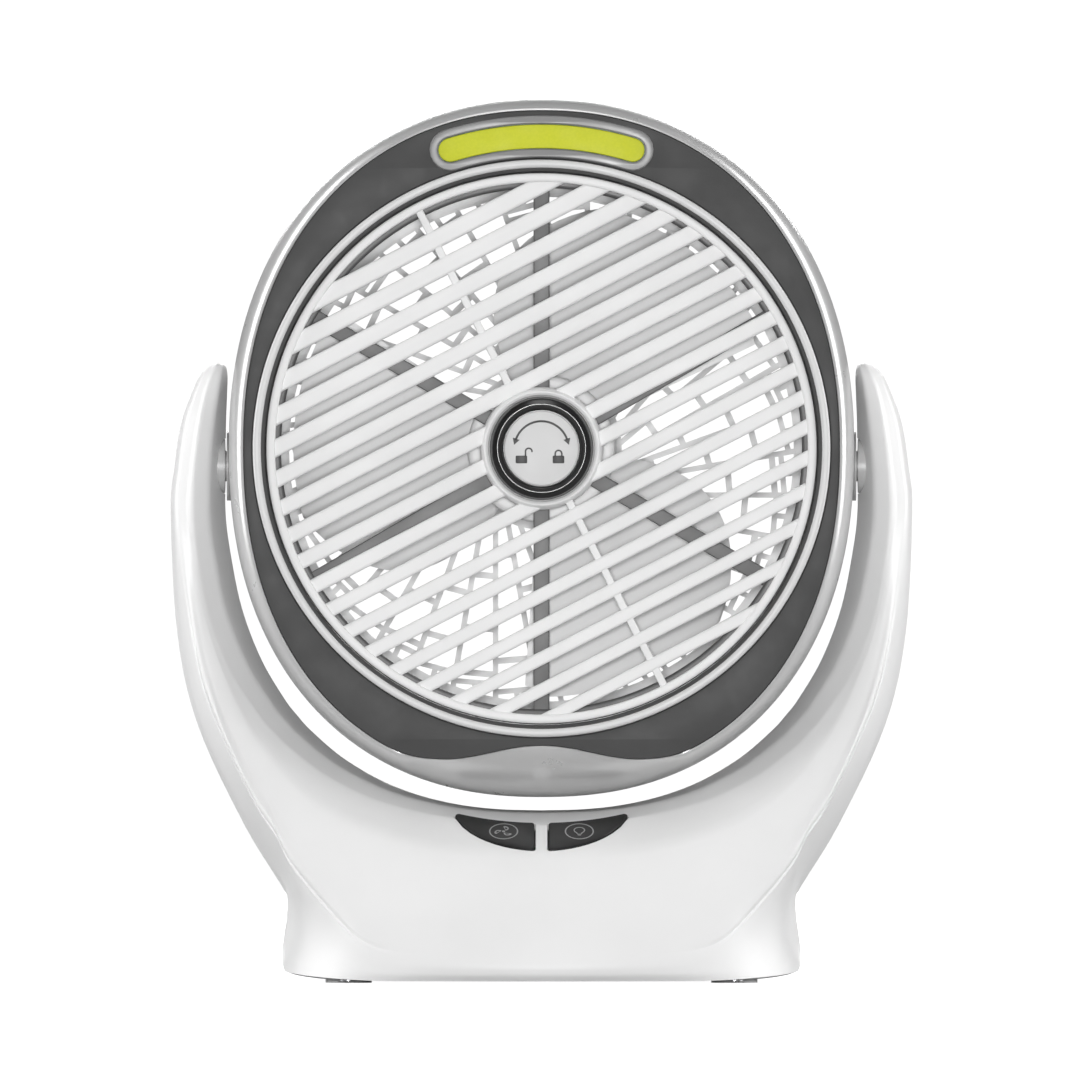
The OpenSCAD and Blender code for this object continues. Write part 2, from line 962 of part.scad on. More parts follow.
module blade() {
    points = [for (s = [0, 1]) for (i = [0 : blade_cols]) for (j = [0 : blade_rows])
        blade_point(i / blade_cols, j / blade_rows, 2 * s - 1)];
    fronts = [for (i = [0 : blade_cols - 1]) for (j = [0 : blade_rows - 1])
        for (t = [[0, 0, 1, 0, 1, 1], [0, 0, 1, 1, 0, 1]])
            [blade_index(i + t[0], j + t[1], 0), blade_index(i + t[2], j + t[3], 0),
                blade_index(i + t[4], j + t[5], 0)]];
    backs = [for (f = fronts) [f[0] + blade_side, f[2] + blade_side, f[1] + blade_side]];
    rim = concat(
        [for (i = [0 : blade_cols]) [i, 0]],
        [for (j = [1 : blade_rows]) [blade_cols, j]],
        [for (i = [1 : blade_cols]) [blade_cols - i, blade_rows]],
        [for (j = [1 : blade_rows - 1]) [0, blade_rows - j]]);
    count = len(rim);
    edges = [for (k = [0 : count - 1])
        let (a = rim[k], b = rim[(k + 1) % count])
        for (t = [0, 1])
            t == 0
                ? [blade_index(a[0], a[1], 0), blade_index(b[0], b[1], 1),
                    blade_index(b[0], b[1], 0)]
                : [blade_index(a[0], a[1], 0), blade_index(a[0], a[1], 1),
                    blade_index(b[0], b[1], 1)]];
    polyhedron(points, concat(fronts, backs, edges), convexity = 4);
}

bush_r = 4;

module impeller()
    color(light_grey)
        about_hub() {
            difference() {
                disc(impeller_hub_r, impeller_front, impeller_back);
                disc(impeller_hub_r - 2, impeller_front + 2, impeller_back + 1);
            }
            difference() {
                disc(6, impeller_front + 1, 0.8);
                disc(bush_r, impeller_front - 1, 2);
            }
            difference() {
                for (i = [0 : blade_count - 1])
                    rotate([0, 0, 360 / blade_count * i])
                        blade();
                disc(impeller_hub_r - 0.6, impeller_front - 2, impeller_back + 4);
            }
        }

module impeller_bush()
    color("peru")
        about_hub()
            ring(bush_r - 0.02, shaft_r + 0.01, impeller_front + 2.2, 0.6);

module motor_shaft()
    color(steel)
        about_hub()
            disc(shaft_r, impeller_front + 2.2, 26);

module motor_rotor()
    color("peru")
        about_hub() {
            ring(9.6, shaft_r + 0.01, motor_front + 4, motor_back - 5);
            ring(4.6, shaft_r + 0.01, motor_back - 4.8, motor_back - 2.2);
        }

// ---- the lock knob -----------------------------------------------------------------------

knob_front = -32.6;
knob_back = collar_floor - 0.4;
knob_r = 13.4;
knob_inner_r = 10;
stem_r = 5;

module lock_knob()
    color(black)
        about_hub()
            difference() {
                disc(knob_r, knob_front, knob_back);
                disc(knob_inner_r, knob_front - 1, knob_front + 1.6);
                disc(stem_r + 0.02, knob_front + 3, knob_back + 1);
            }

module knob_face()
    color(light_grey)
        about_hub()
            disc(9.7, knob_front + 0.5, knob_front + 1.58);

module knob_stem()
    color(black)
        about_hub() {
            disc(stem_r, knob_front + 3.1, -12.6);
            translate([-lug_half_l, -lug_w / 2, -14.4])
                cube([2 * lug_half_l, lug_w, 1.8]);
        }

module knob_clip()
    color(steel)
        about_hub()
            ring(7.4, stem_r + 0.02, -21.5, -20.6);

base_front_shell();
base_rear_shell();
base_bottom_plate();
rubber_feet();
bottom_screws();
shell_screws();
battery_cells();
battery_holder();
control_board();
charge_socket();
charge_lamp();
button_board();
button_switches();
pivot_bushes();
fan_button();
light_button();
head_shell();
rear_grille();
front_bezel();
trim_ring();
spoke_frame();
front_grille();
lamp_surround();
lamp_diffuser();
lamp_board();
head_screws();
pivot_pins();
friction_washers();
pivot_nuts();
motor_can();
motor_magnets();
motor_end_cap();
motor_bearings();
motor_screws();
impeller();
impeller_bush();
motor_shaft();
motor_rotor();
lock_knob();
knob_face();
knob_stem();
knob_clip();
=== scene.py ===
"""A rechargeable desk fan with a lamp strip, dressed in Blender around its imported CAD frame."""
import json
import math

import bmesh
import bpy
import numpy as np
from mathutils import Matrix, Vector


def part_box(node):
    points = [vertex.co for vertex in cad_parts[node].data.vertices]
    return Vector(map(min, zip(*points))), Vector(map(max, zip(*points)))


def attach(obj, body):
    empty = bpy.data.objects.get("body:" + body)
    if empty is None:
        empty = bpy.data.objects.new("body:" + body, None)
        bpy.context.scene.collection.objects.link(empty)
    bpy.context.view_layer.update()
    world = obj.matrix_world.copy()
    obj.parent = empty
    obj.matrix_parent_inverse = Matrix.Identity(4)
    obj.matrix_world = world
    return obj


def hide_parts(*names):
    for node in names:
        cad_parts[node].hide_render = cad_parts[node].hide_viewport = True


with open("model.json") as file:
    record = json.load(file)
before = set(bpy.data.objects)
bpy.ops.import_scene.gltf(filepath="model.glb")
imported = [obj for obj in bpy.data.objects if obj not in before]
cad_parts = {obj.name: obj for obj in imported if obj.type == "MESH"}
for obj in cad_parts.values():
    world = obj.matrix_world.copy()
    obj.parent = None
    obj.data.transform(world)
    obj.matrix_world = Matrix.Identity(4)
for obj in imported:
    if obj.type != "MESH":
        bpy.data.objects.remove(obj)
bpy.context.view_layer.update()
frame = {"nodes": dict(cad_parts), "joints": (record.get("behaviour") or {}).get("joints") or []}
nodes = frame["nodes"]

MM = 0.001

# ---- places taken from the frame, in millimetres --------------------------------------------


def box_mm(node):
    low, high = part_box(node)
    return [c / MM for c in low], [c / MM for c in high]


JOINTS = {j["name"]: j for j in frame["joints"]}
PIVOT_Z = JOINTS["head_tilt"]["pos_m"][2] / MM
HUB_Z = JOINTS["impeller_spin"]["pos_m"][2] / MM
HEAD_LOW, HEAD_HIGH = box_mm("head_shell")
HEAD_HALF_W = (HEAD_HIGH[0] - HEAD_LOW[0]) / 2
HEAD_HALF_H = (HEAD_HIGH[2] - HEAD_LOW[2]) / 2
HEAD_MID_Z = (HEAD_HIGH[2] + HEAD_LOW[2]) / 2
HEAD_FRONT = HEAD_LOW[1]
HEAD_REAR = HEAD_HIGH[1]
STAND_LOW, STAND_HIGH = box_mm("base_front_shell")
STAND_BOTTOM = STAND_LOW[2]
ARM_TOP = STAND_HIGH[2]

# ---- mesh helpers ---------------------------------------------------------------------------


def add_mesh(name, points, faces, material, smooth=True):
    """An object from points in millimetres."""
    mesh = bpy.data.meshes.new(name)
    mesh.from_pydata([[c * MM for c in p] for p in points], [], faces)
    mesh.validate()
    mesh.update()
    obj = bpy.data.objects.new(name, mesh)
    bpy.context.scene.collection.objects.link(obj)
    mesh.materials.append(material)
    for polygon in mesh.polygons:
        polygon.use_smooth = smooth
    return obj


MERGE = 0.002  # points closer than this, in millimetres, are one


def join_doubles(work, distance):
    """Joins points that lie within the distance, and drops edges left without a face."""
    bmesh.ops.remove_doubles(work, verts=work.verts, dist=distance * MM)
    loose = [edge for edge in work.edges if not edge.link_faces]
    bmesh.ops.delete(work, geom=loose, context="EDGES")


def tidy_mesh(obj, merge=0.0):
    """Merges double points and turns every face outward."""
    work = bmesh.new()
    work.from_mesh(obj.data)
    if merge:
        join_doubles(work, merge)
    bmesh.ops.recalc_face_normals(work, faces=work.faces)
    work.to_mesh(obj.data)
    work.free()


def apply_modifiers(obj):
    """Keeps the evaluated mesh as the object's own."""
    depsgraph = bpy.context.evaluated_depsgraph_get()
    done = bpy.data.meshes.new_from_object(obj.evaluated_get(depsgraph), depsgraph=depsgraph)
    obj.modifiers.clear()
    obj.data = done


def soft_edges(obj, angle=35):
    """Smooth shading with sharp edges above the angle."""
    work = bmesh.new()
    work.from_mesh(obj.data)
    limit = math.radians(angle)
    for face in work.faces:
        face.smooth = True
    for edge in work.edges:
        if len(edge.link_faces) == 2:
            edge.smooth = edge.calc_face_angle(0) < limit
    work.to_mesh(obj.data)
    work.free()


def grid_faces(rows, cols, wrap=False, first=0):
    faces = []
    for r in range(rows - 1):
        for c in range(cols if wrap else cols - 1):
            d = (c + 1) % cols
            faces.append([first + r * cols + c, first + r * cols + d,
                          first + (r + 1) * cols + d, first + (r + 1) * cols + c])
    return faces


def lathe(name, profile, material, segments=128, centre_z=None):
    """A ring about the hub's axis: the profile is a closed loop of (radius, depth) pairs."""
    z0 = HUB_Z if centre_z is None else centre_z
    points = []
    for k in range(segments):
        a = 2 * math.pi * k / segments
        points += [(r * math.cos(a), y, z0 + r * math.sin(a)) for r, y in profile]
    rows = segments
    cols = len(profile)
    faces = []
    for r in range(rows):
        for c in range(cols):
            d = (c + 1) % cols
            s = (r + 1) % rows
            faces.append([r * cols + c, r * cols + d, s * cols + d, s * cols + c])
    obj = add_mesh(name, points, faces, material)
    tidy_mesh(obj, 0.001)
    return obj


def rounded_loop(corners, radius, steps=4):
    """A closed outline with each corner rounded: a corner may carry its own radius as a third value."""
    loop = []
    count = len(corners)
    for i in range(count):
        here = Vector(corners[i][:2])
        before = Vector(corners[i - 1][:2])
        after = Vector(corners[(i + 1) % count][:2])
        r = corners[i][2] if len(corners[i]) > 2 else radius
        if r <= 0:
            loop.append(tuple(here))
            continue
        to_before = before - here
        to_after = after - here
        angle = to_before.angle(to_after)
        cut = min(r / math.tan(angle / 2), 0.49 * to_before.length, 0.49 * to_after.length)
        start = here + to_before.normalized() * cut
        end = here + to_after.normalized() * cut
        for k in range(steps + 1):
            t = k / steps
            a = start.lerp(here, t)
            b = here.lerp(end, t)
            loop.append(tuple(a.lerp(b, t)))
    return loop


def smooth_curve(points, steps):
    """Catmull-Rom through rows of numbers: steps points for each span, and the last point."""
    p = np.asarray(points, float)
    ends = np.vstack([2 * p[0] - p[1], p, 2 * p[-1] - p[-2]])
    out = []
    for i in range(len(p) - 1):
        a, b, c, d = ends[i:i + 4]
        for k in range(steps):
            t = k / steps
            out.append(0.5 * (2 * b + (c - a) * t + (2 * a - 5 * b + 4 * c - d) * t * t
                              + (3 * b - a - 3 * c + d) * t ** 3))
    out.append(p[-1])
    return np.array(out)


def egg(half_w, half_h, count=192, full_up=2.17, full_down=2.27):
    """The head's outline about its middle: a superellipse, a little fuller below."""
    points = []
    for i in range(count):
        a = 2 * math.pi * i / count
        c, s = math.cos(a), math.sin(a)
        n = full_up if s >= 0 else full_down
        points.append((half_w * math.copysign(abs(c) ** (2 / n), c),
                       half_h * math.copysign(abs(s) ** (2 / n), s)))
    return points


def head_outline(inset, count=192):
    return [(x, HEAD_MID_Z + z)
            for x, z in egg(HEAD_HALF_W - inset, HEAD_HALF_H - inset, count)]


# ---- materials ------------------------------------------------------------------------------


def new_material(name):
    material = bpy.data.materials.new(name)
    material.use_nodes = True
    tree = material.node_tree
    shader = tree.nodes["Principled BSDF"]
    return material, tree, shader


def noise_node(tree, scale, detail=4.0, rough=0.5):
    where = tree.nodes.new("ShaderNodeTexCoord")
    noise = tree.nodes.new("ShaderNodeTexNoise")
    noise.inputs["Scale"].default_value = scale
    noise.inputs["Detail"].default_value = detail
    noise.inputs["Roughness"].default_value = rough
    tree.links.new(where.outputs["Object"], noise.inputs["Vector"])
    return noise


def spread(tree, source, low, high):
    """Maps a 0.3-0.7 noise value to the range low to high."""
    remap = tree.nodes.new("ShaderNodeMapRange")
    remap.inputs["From Min"].default_value = 0.3
    remap.inputs["From Max"].default_value = 0.7
    remap.inputs["To Min"].default_value = low
    remap.inputs["To Max"].default_value = high
    tree.links.new(source, remap.inputs["Value"])
    return remap.outputs["Result"]


def moulded(name, colour, rough=0.35, rough_var=0.05, grain=2500.0, grain_depth=0.01,
            mottle=0.02, coat=0.0, specular=0.5, metallic=0.0):
    """Moulded plastic: a faint mottle, uneven gloss and a fine surface grain."""
    material, tree, shader = new_material(name)
    link = tree.links.new
    mix = tree.nodes.new("ShaderNodeMix")
    mix.data_type = "RGBA"
    mix.inputs["A"].default_value = [c * (1 - mottle) for c in colour] + [1]
    mix.inputs["B"].default_value = [min(1.0, c * (1 + mottle)) for c in colour] + [1]
    cloud = noise_node(tree, 35.0, 3.0)
    link(spread(tree, cloud.outputs["Fac"], 0.0, 1.0), mix.inputs["Factor"])
    link(mix.outputs["Result"], shader.inputs["Base Color"])
    smear = noise_node(tree, 90.0, 5.0, 0.6)
    link(spread(tree, smear.outputs["Fac"], rough - rough_var, rough + rough_var),
         shader.inputs["Roughness"])
    fine = noise_node(tree, grain, 2.0)
    bump = tree.nodes.new("ShaderNodeBump")
    bump.inputs["Strength"].default_value = 0.25
    bump.inputs["Distance"].default_value = grain_depth * MM
    link(fine.outputs["Fac"], bump.inputs["Height"])
    link(bump.outputs["Normal"], shader.inputs["Normal"])
    shader.inputs["Coat Weight"].default_value = coat
    shader.inputs["Coat Roughness"].default_value = 0.08
    shader.inputs["Specular IOR Level"].default_value = specular
    shader.inputs["Metallic"].default_value = metallic
    return material


def metal(name, colour, rough=0.3, streak=(400.0, 400.0, 6000.0)):
    """Drawn or plated metal with fine streaks."""
    material, tree, shader = new_material(name)
    link = tree.links.new
    where = tree.nodes.new("ShaderNodeTexCoord")
    stretch = tree.nodes.new("ShaderNodeMapping")
    stretch.inputs["Scale"].default_value = streak
    noise = tree.nodes.new("ShaderNodeTexNoise")
    noise.inputs["Scale"].default_value = 1.0
    noise.inputs["Detail"].default_value = 3.0
    link(where.outputs["Object"], stretch.inputs["Vector"])
    link(stretch.outputs["Vector"], noise.inputs["Vector"])
    mix = tree.nodes.new("ShaderNodeMix")
    mix.data_type = "RGBA"
    mix.inputs["A"].default_value = [c * 0.85 for c in colour] + [1]
    mix.inputs["B"].default_value = list(colour) + [1]
    link(noise.outputs["Fac"], mix.inputs["Factor"])
    link(mix.outputs["Result"], shader.inputs["Base Color"])
    link(spread(tree, noise.outputs["Fac"], rough - 0.08, rough + 0.08),
         shader.inputs["Roughness"])
    shader.inputs["Metallic"].default_value = 1.0
    return material


MAT = {
    "stand": moulded("stand_white", (0.76, 0.76, 0.76), 0.48, 0.03),
    "head": moulded("head_white", (0.60, 0.60, 0.60), 0.30, 0.03, grain_depth=0.001, metallic=0.45),
    "grille": moulded("grille_white", (0.77, 0.77, 0.77), 0.52, 0.04),
    "mesh": moulded("mesh_grey", (0.80, 0.80, 0.80), 0.40, 0.05),
    "blade": moulded("blade_grey", (0.90, 0.90, 0.90), 0.42, 0.05),
    "bezel": moulded("bezel_grey", (0.045, 0.045, 0.045), 0.52, 0.05, grain=4000.0,
                     grain_depth=0.02, mottle=0.06, specular=0.3),
    "trim": moulded("trim_grey", (0.62, 0.62, 0.62), 0.42, 0.04),
    "guard": moulded("guard_grey", (0.12, 0.12, 0.12), 0.45, 0.05, mottle=0.08),
    "lamp_rim": moulded("lamp_rim_grey", (0.18, 0.18, 0.18), 0.35, 0.05, mottle=0.05),
    "gloss_black": moulded("gloss_black", (0.012, 0.012, 0.012), 0.24, 0.04, mottle=0.1),
    "button": moulded("button_black", (0.013, 0.013, 0.013), 0.38, 0.06, grain=5000.0, mottle=0.1,
                      specular=0.3),
    "knob_face": moulded("knob_face_grey", (0.56, 0.56, 0.56), 0.45, 0.04),
    "print_black": moulded("print_black", (0.03, 0.03, 0.03), 0.5, 0.05, mottle=0.1),
    "print_grey": moulded("print_grey", (0.26, 0.26, 0.26), 0.5, 0.05, mottle=0.1),
    "grey_plastic": moulded("grey_plastic", (0.45, 0.45, 0.45), 0.4, 0.05),
    "black_plastic": moulded("black_plastic", (0.03, 0.03, 0.03), 0.5, 0.06, mottle=0.1),
    "rubber": moulded("rubber_grey", (0.70, 0.70, 0.70), 0.75, 0.08, grain=1200.0,
                      grain_depth=0.05, mottle=0.15, specular=0.3),
    "steel": metal("screw_steel", (0.62, 0.62, 0.64), 0.32),
    "motor_steel": metal("motor_steel", (0.55, 0.55, 0.57), 0.28),
    "bronze": metal("bronze", (0.55, 0.38, 0.20), 0.4),
    "copper": metal("copper_winding", (0.70, 0.32, 0.16), 0.35, (300.0, 9000.0, 300.0)),
    "cell": moulded("cell_wrap", (0.03, 0.16, 0.42), 0.25, 0.05, coat=0.2),
    "board": moulded("circuit_board", (0.02, 0.20, 0.08), 0.35, 0.08, mottle=0.15),
    "clear": moulded("clear_lamp", (0.75, 0.82, 0.75), 0.1, 0.02),
}


def lamp_material():
    """Yellow-green phosphor under clear silicone, with the faint rows of the chips below."""
    material, tree, shader = new_material("lamp_yellow")
    link = tree.links.new
    cells = tree.nodes.new("ShaderNodeTexVoronoi")
    cells.inputs["Scale"].default_value = 1500.0
    where = tree.nodes.new("ShaderNodeTexCoord")
    link(where.outputs["Object"], cells.inputs["Vector"])
    ramp = tree.nodes.new("ShaderNodeValToRGB")
    ramp.color_ramp.elements[0].color = (0.60, 0.63, 0.028, 1)
    ramp.color_ramp.elements[1].color = (0.56, 0.60, 0.025, 1)
    ramp.color_ramp.elements[1].position = 0.8
    link(cells.outputs["Distance"], ramp.inputs["Fac"])
    link(ramp.outputs["Color"], shader.inputs["Base Color"])
    noise = noise_node(tree, 250.0)
    link(spread(tree, noise.outputs["Fac"], 0.5, 0.65), shader.inputs["Roughness"])
    shader.inputs["Specular IOR Level"].default_value = 0.3
    bump = tree.nodes.new("ShaderNodeBump")
    bump.inputs["Strength"].default_value = 0.3
    bump.inputs["Distance"].default_value = 0.05 * MM
    link(noise.outputs["Fac"], bump.inputs["Height"])
    link(bump.outputs["Normal"], shader.inputs["Normal"])
    return material


MAT["lamp"] = lamp_material()

NODE_MATERIAL = {
    "base_bottom_plate": "stand", "rubber_feet": "rubber", "bottom_screws": "steel",
    "shell_screws": "steel", "battery_cells": "cell", "battery_holder": "black_plastic",
    "control_board": "board", "charge_socket": "steel", "charge_lamp": "clear",
    "button_board": "board", "button_switches": "black_plastic", "pivot_bushes": "grey_plastic",
    "base_front_shell": "stand", "base_rear_shell": "stand", "fan_button": "button",
    "light_button": "button", "head_shell": "head", "rear_grille": "mesh",
    "front_bezel": "bezel", "trim_ring": "trim", "spoke_frame": "guard",
    "front_grille": "grille", "lamp_surround": "lamp_rim", "lamp_diffuser": "lamp",
    "lamp_board": "board", "head_screws": "steel", "pivot_pins": "grey_plastic",
    "friction_washers": "steel", "pivot_nuts": "steel", "motor_can": "motor_steel",
    "motor_magnets": "black_plastic", "motor_end_cap": "grey_plastic",
    "motor_bearings": "bronze", "motor_screws": "steel", "impeller": "blade",
    "impeller_bush": "bronze", "motor_shaft": "motor_steel", "motor_rotor": "copper",
    "lock_knob": "gloss_black", "knob_face": "knob_face", "knob_stem": "black_plastic",
    "knob_clip": "steel",
}
for node_name, key in NODE_MATERIAL.items():
    slots = nodes[node_name].data.materials
    if not len(slots):
        slots.append(MAT[key])
    for i in range(len(slots)):
        slots[i] = MAT[key]


def stand_for(obj, body, node):
    """obj rides on the body and stands for the CAD node, which it hides."""
    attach(obj, body)
    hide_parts(node)


# ---- the stand ------------------------------------------------------------------------------

CRADLE_HALF_W = 82.2
CRADLE_DEPTH = 89.6
CRADLE_FULLNESS = 2.4


def cradle_point(x, offset):
    """A point of the cradle's contour at this x, moved outward by the offset."""
    def contour(px):
        t = max(0.0, 1 - (px / CRADLE_HALF_W) ** CRADLE_FULLNESS)
        return PIVOT_Z - CRADLE_DEPTH * t ** (1 / CRADLE_FULLNESS)
    step = 0.05
    low_x = max(x - step, 0.0)
    high_x = min(x + step, CRADLE_HALF_W)
    tangent = Vector((high_x - low_x, contour(high_x) - contour(low_x))).normalized()
    if x == 0:
        tangent = Vector((1, 0))
    normal = Vector((tangent.y, -tangent.x))
    return x + normal.x * offset, contour(x) + normal.y * offset


# Each row is one station along the stand, from the middle of the front to the top of an arm.
# Cradle x, then widths of the cradle's lip and of its bevel, their depths, then the shoulder,
# the middle of the face, the crease, the middle of the flank and the outer edge as (x, depth, z).
STATIONS = [
    (0, 0.5, 3.5, -15, 0, (0, -38.4, 0), (0, -46.2, 20), (0, -49.6, 7), (0, -49.9, 3),
     (0, -48.6, 0.8)),
    (11, 0.5, 3.5, -15, 0, (12, -38.2, 0), (12.4, -45.8, 20), (13, -49.2, 7.2),
     (13.5, -49.4, 3), (14, -48.0, 0.8)),
    (21.5, 0.7, 3.5, -15, 0, (24, -37.0, 0), (25, -44.6, 20.6), (26, -47.9, 7.6),
     (27, -48.0, 3.2), (28, -46.6, 0.8)),
    (32, 1.0, 4.0, -15, -22.6, (36, -34.8, 37.2), (38, -42.4, 22), (37, -45.8, 8.4),
     (40, -45.2, 3.4), (42, -43.8, 0.8)),
    (42, 1.5, 5.0, -14.6, -22.4, (48, -32.2, 41.2), (49.5, -39.2, 25.6), (46.5, -42.4, 11.2),
     (52, -39.0, 4.8), (55, -37.4, 1.5)),
    (52, 2.2, 6.0, -14.2, -22.0, (59, -29.6, 47.4), (59.8, -35.2, 33.0), (54.6, -37.6, 18.9),
     (60.5, -28.0, 8.5), (64.4, -23.0, 2.4)),
    (60, 2.8, 6.8, -13.8, -21.4, (67, -26.8, 54.6), (68.2, -30.8, 43.4), (64.8, -33.2, 31.0),
     (63.2, -17, 16.5), (67.2, 0, 3.6)),
    (63.5, 3.05, 7.2, -13.7, -21.0, (70.9, -25.4, 59.6), (72.3, -28.7, 49.7),
     (69.0, -30.9, 38.8), (65.6, -15.5, 24.0), (67.1, 0, 10.8)),
    (67, 3.3, 7.6, -13.6, -20.6, (74.8, -24.0, 64.6), (76.4, -26.6, 56.0), (74.2, -28.6, 46.6),
     (69.4, -14.5, 31.5), (64.6, 0, 18.9)),
    (73, 3.7, 8.3, -13.4, -19.6, (81.0, -21.6, 76.8), (82.8, -23.4, 70.0), (81.6, -24.6, 61.6),
     (80.2, -13, 50.0), (77.0, 0, 40.0)),
    (78, 4.0, 8.5, -13.2, -18.6, (86.4, -19.6, 91.6), (87.6, -20.6, 86.0), (87.6, -21.0, 77.0),
     (88.6, -12, 69.0), (89.4, 0, 66.5)),
    (81, 4.0, 8.3, -13.0, -17.6, (89.9, -18.0, 108.2), (90.7, -18.2, 104.5), (91.6, -17.8, 97.0),
     (93.7, -10, 94.0), (94.8, 0, 90.5)),
]
# Above the cradle's curve the arms go straight up: height, then the five points' (x, depth).
ARM_STATIONS = [
    (122, (82.2, 0), (86.2, -12.9), (90.5, -17.0), (92.0, -16.0), (95.5, -9.0), (96.5, 0)),
    (134, (82.2, 0), (86.0, -12.8), (90.0, -16.4), (91.2, -15.4), (94.5, -8.6), (95.5, 0)),
    (145, (82.1, 0), (85.0, -12.4), (88.7, -15.6), (89.7, -14.6), (92.9, -8.2), (93.8, 0)),
    (153, (81.8, 0), (84.0, -11.4), (87.1, -13.8), (88.0, -12.8), (90.3, -7.2), (91.0, 0)),
    (157.5, (81.7, 0), (83.3, -9.4), (85.5, -11.0), (86.4, -10.2), (88.3, -5.8), (88.9, 0)),
    (160, (82.2, 0), (83.1, -6.6), (84.4, -7.6), (85.0, -7.0), (86.3, -4.0), (86.7, 0)),
    (161, (83.6, 0), (83.8, -3.6), (84.2, -4.2), (84.4, -3.9), (84.9, -2.2), (85.1, 0)),
]
PANEL_Y = -38
PANEL_Z = 34
PANEL_ANGLE = math.radians(32)
PANEL_SLOPE = math.tan(PANEL_ANGLE)
SEAM_GAP = 0.12
STAND_WALL = 1.8


def stand_columns():
    """Control points of the stand's right front quarter, as rows of eight points."""
    rows = []
    for x, lip, edge, lip_y, edge_y, shoulder, middle, crease, flank, rim in STATIONS:
        w0 = cradle_point(x, 0)
        w1 = cradle_point(x, lip)
        b = cradle_point(x, edge)
        if x < 25:
            edge_y = PANEL_Y + (b[1] - PANEL_Z) / PANEL_SLOPE
        if shoulder[0] < 25:
            shoulder = (shoulder[0], shoulder[1], PANEL_Z + (shoulder[1] - PANEL_Y) * PANEL_SLOPE)
        rows.append([(w0[0], 0, w0[1]), (w1[0], lip_y, w1[1]), (b[0], edge_y, b[1]),
                     shoulder, middle, crease, flank, rim])
    for z, w0, w1, b, shoulder, flank, rim in ARM_STATIONS:
        s, f = np.array(shoulder), np.array(flank)
        middle = s + (f - s) / 3
        crease = s + (f - s) * 2 / 3
        rows.append([(p[0], p[1], z) for p in (w0, w1, b, s, middle, crease, f, rim)])
    return np.array(rows, float)


def section(row, groove):
    """The dense cross-section through one row of eight points, with the crease cut in."""
    w0, w1, b, shoulder, middle, crease, flank, rim = row
    lip = rounded_polyline([w0, w1, b, shoulder], [1.6, 0.9])
    body = [b, shoulder, middle, crease, flank, rim]
    curve = []
    ends = [2 * body[0] - body[1]] + body + [2 * body[-1] - body[-2]]
    for i in range(1, 5):
        p0, p1, p2, p3 = ends[i:i + 4]
        for k in range(8):
            t = k / 8
            if i == 2:
                t = 1 - (1 - t) ** 2
            if i == 3:
                t = t * t
            curve.append(0.5 * (2 * p1 + (p2 - p0) * t + (2 * p0 - 5 * p1 + 4 * p2 - p3) * t * t
                                + (3 * p1 - p0 - 3 * p2 + p3) * t ** 3))
    curve.append(rim)
    curve = np.array(curve)
    if groove > 0:
        along = np.linalg.norm(curve - crease, axis=1)
        inward = np.array([-0.25 * (crease[0] > 1), 1.0, 0.0])
        inward /= np.linalg.norm(inward)
        curve = curve + inward * (0.75 * groove * np.exp(-(along / 0.55) ** 2))[:, None]
    return np.vstack([lip[:-1], curve])


def rounded_polyline(points, radii, steps=5):
    """An open 3-D polyline with its inner corners rounded; a few extra points keep it even."""
    out = [points[0]]
    for i in range(1, len(points) - 1):
        here = points[i]
        r = radii[i - 1]
        back = points[i - 1] - here
        ahead = points[i + 1] - here
        cut_a = min(r, 0.45 * np.linalg.norm(back))
        cut_b = min(r, 0.45 * np.linalg.norm(ahead))
        a = here + back / (np.linalg.norm(back) + 1e-9) * cut_a
        b = here + ahead / (np.linalg.norm(ahead) + 1e-9) * cut_b
        start = out[-1]
        for k in (1, 2, 3):
            out.append(start + (a - start) * k / 4)
        for k in range(steps + 1):
            t = k / steps
            out.append((1 - t) ** 2 * a + 2 * t * (1 - t) * here + t * t * b)
    start = out[-1]
    for k in (1, 2, 3, 4):
        out.append(start + (points[-1] - start) * k / 4)
    return np.array(out)


GROOVE = [0, 0, 0, 0.1, 0.7, 1, 1, 1, 1, 1, 1, 0.35] + [0] * len(ARM_STATIONS)
ROW_STEPS = 6


def stand_shell(name, side):
    """Front (side -1) or rear (side 1) half of the stand as a closed shell."""
    rows = stand_columns()
    columns = [smooth_curve(rows[:, k], ROW_STEPS) for k in range(rows.shape[1])]
    groove = smooth_curve(np.array(GROOVE, float)[:, None], ROW_STEPS)[:, 0]
    grid = []
    for i in range(len(columns[0])):
        grid.append(section([c[i] for c in columns], max(0.0, groove[i])))
    grid = np.array(grid)
    grid[:, :, 1] = np.minimum(grid[:, :, 1], -SEAM_GAP)
    grid[0, :, 0] = 0
    grid[:, :, 0] = np.maximum(grid[:, :, 0], 0)
    grid[:, :, 2] = np.maximum(grid[:, :, 2], STAND_BOTTOM)
    if side > 0:
        grid[:, :, 1] *= -1
    count, width = grid.shape[:2]
    right = grid.reshape(-1, 3)
    left = right * np.array([-1, 1, 1])
    faces = grid_faces(count, width) + grid_faces(count, width, first=len(right))
    shell = add_mesh(name, list(right) + list(left), faces, MAT["stand"])
    tidy_mesh(shell, 0.01)
    work = bmesh.new()
    work.from_mesh(shell.data)
    front = max(work.faces, key=lambda f: abs(f.calc_center_median().y))
    if front.normal.y * side < 0:
        bmesh.ops.reverse_faces(work, faces=work.faces)
    work.to_mesh(shell.data)
    work.free()
    thick = shell.modifiers.new("wall", "SOLIDIFY")
    thick.thickness = STAND_WALL * MM
    thick.offset = -1
    thick.use_even_offset = False
    apply_modifiers(shell)
    for v in shell.data.vertices:
        v.co.z = min(v.co.z, (ARM_TOP - 0.1) * MM)
    tidy_mesh(shell)
    return shell


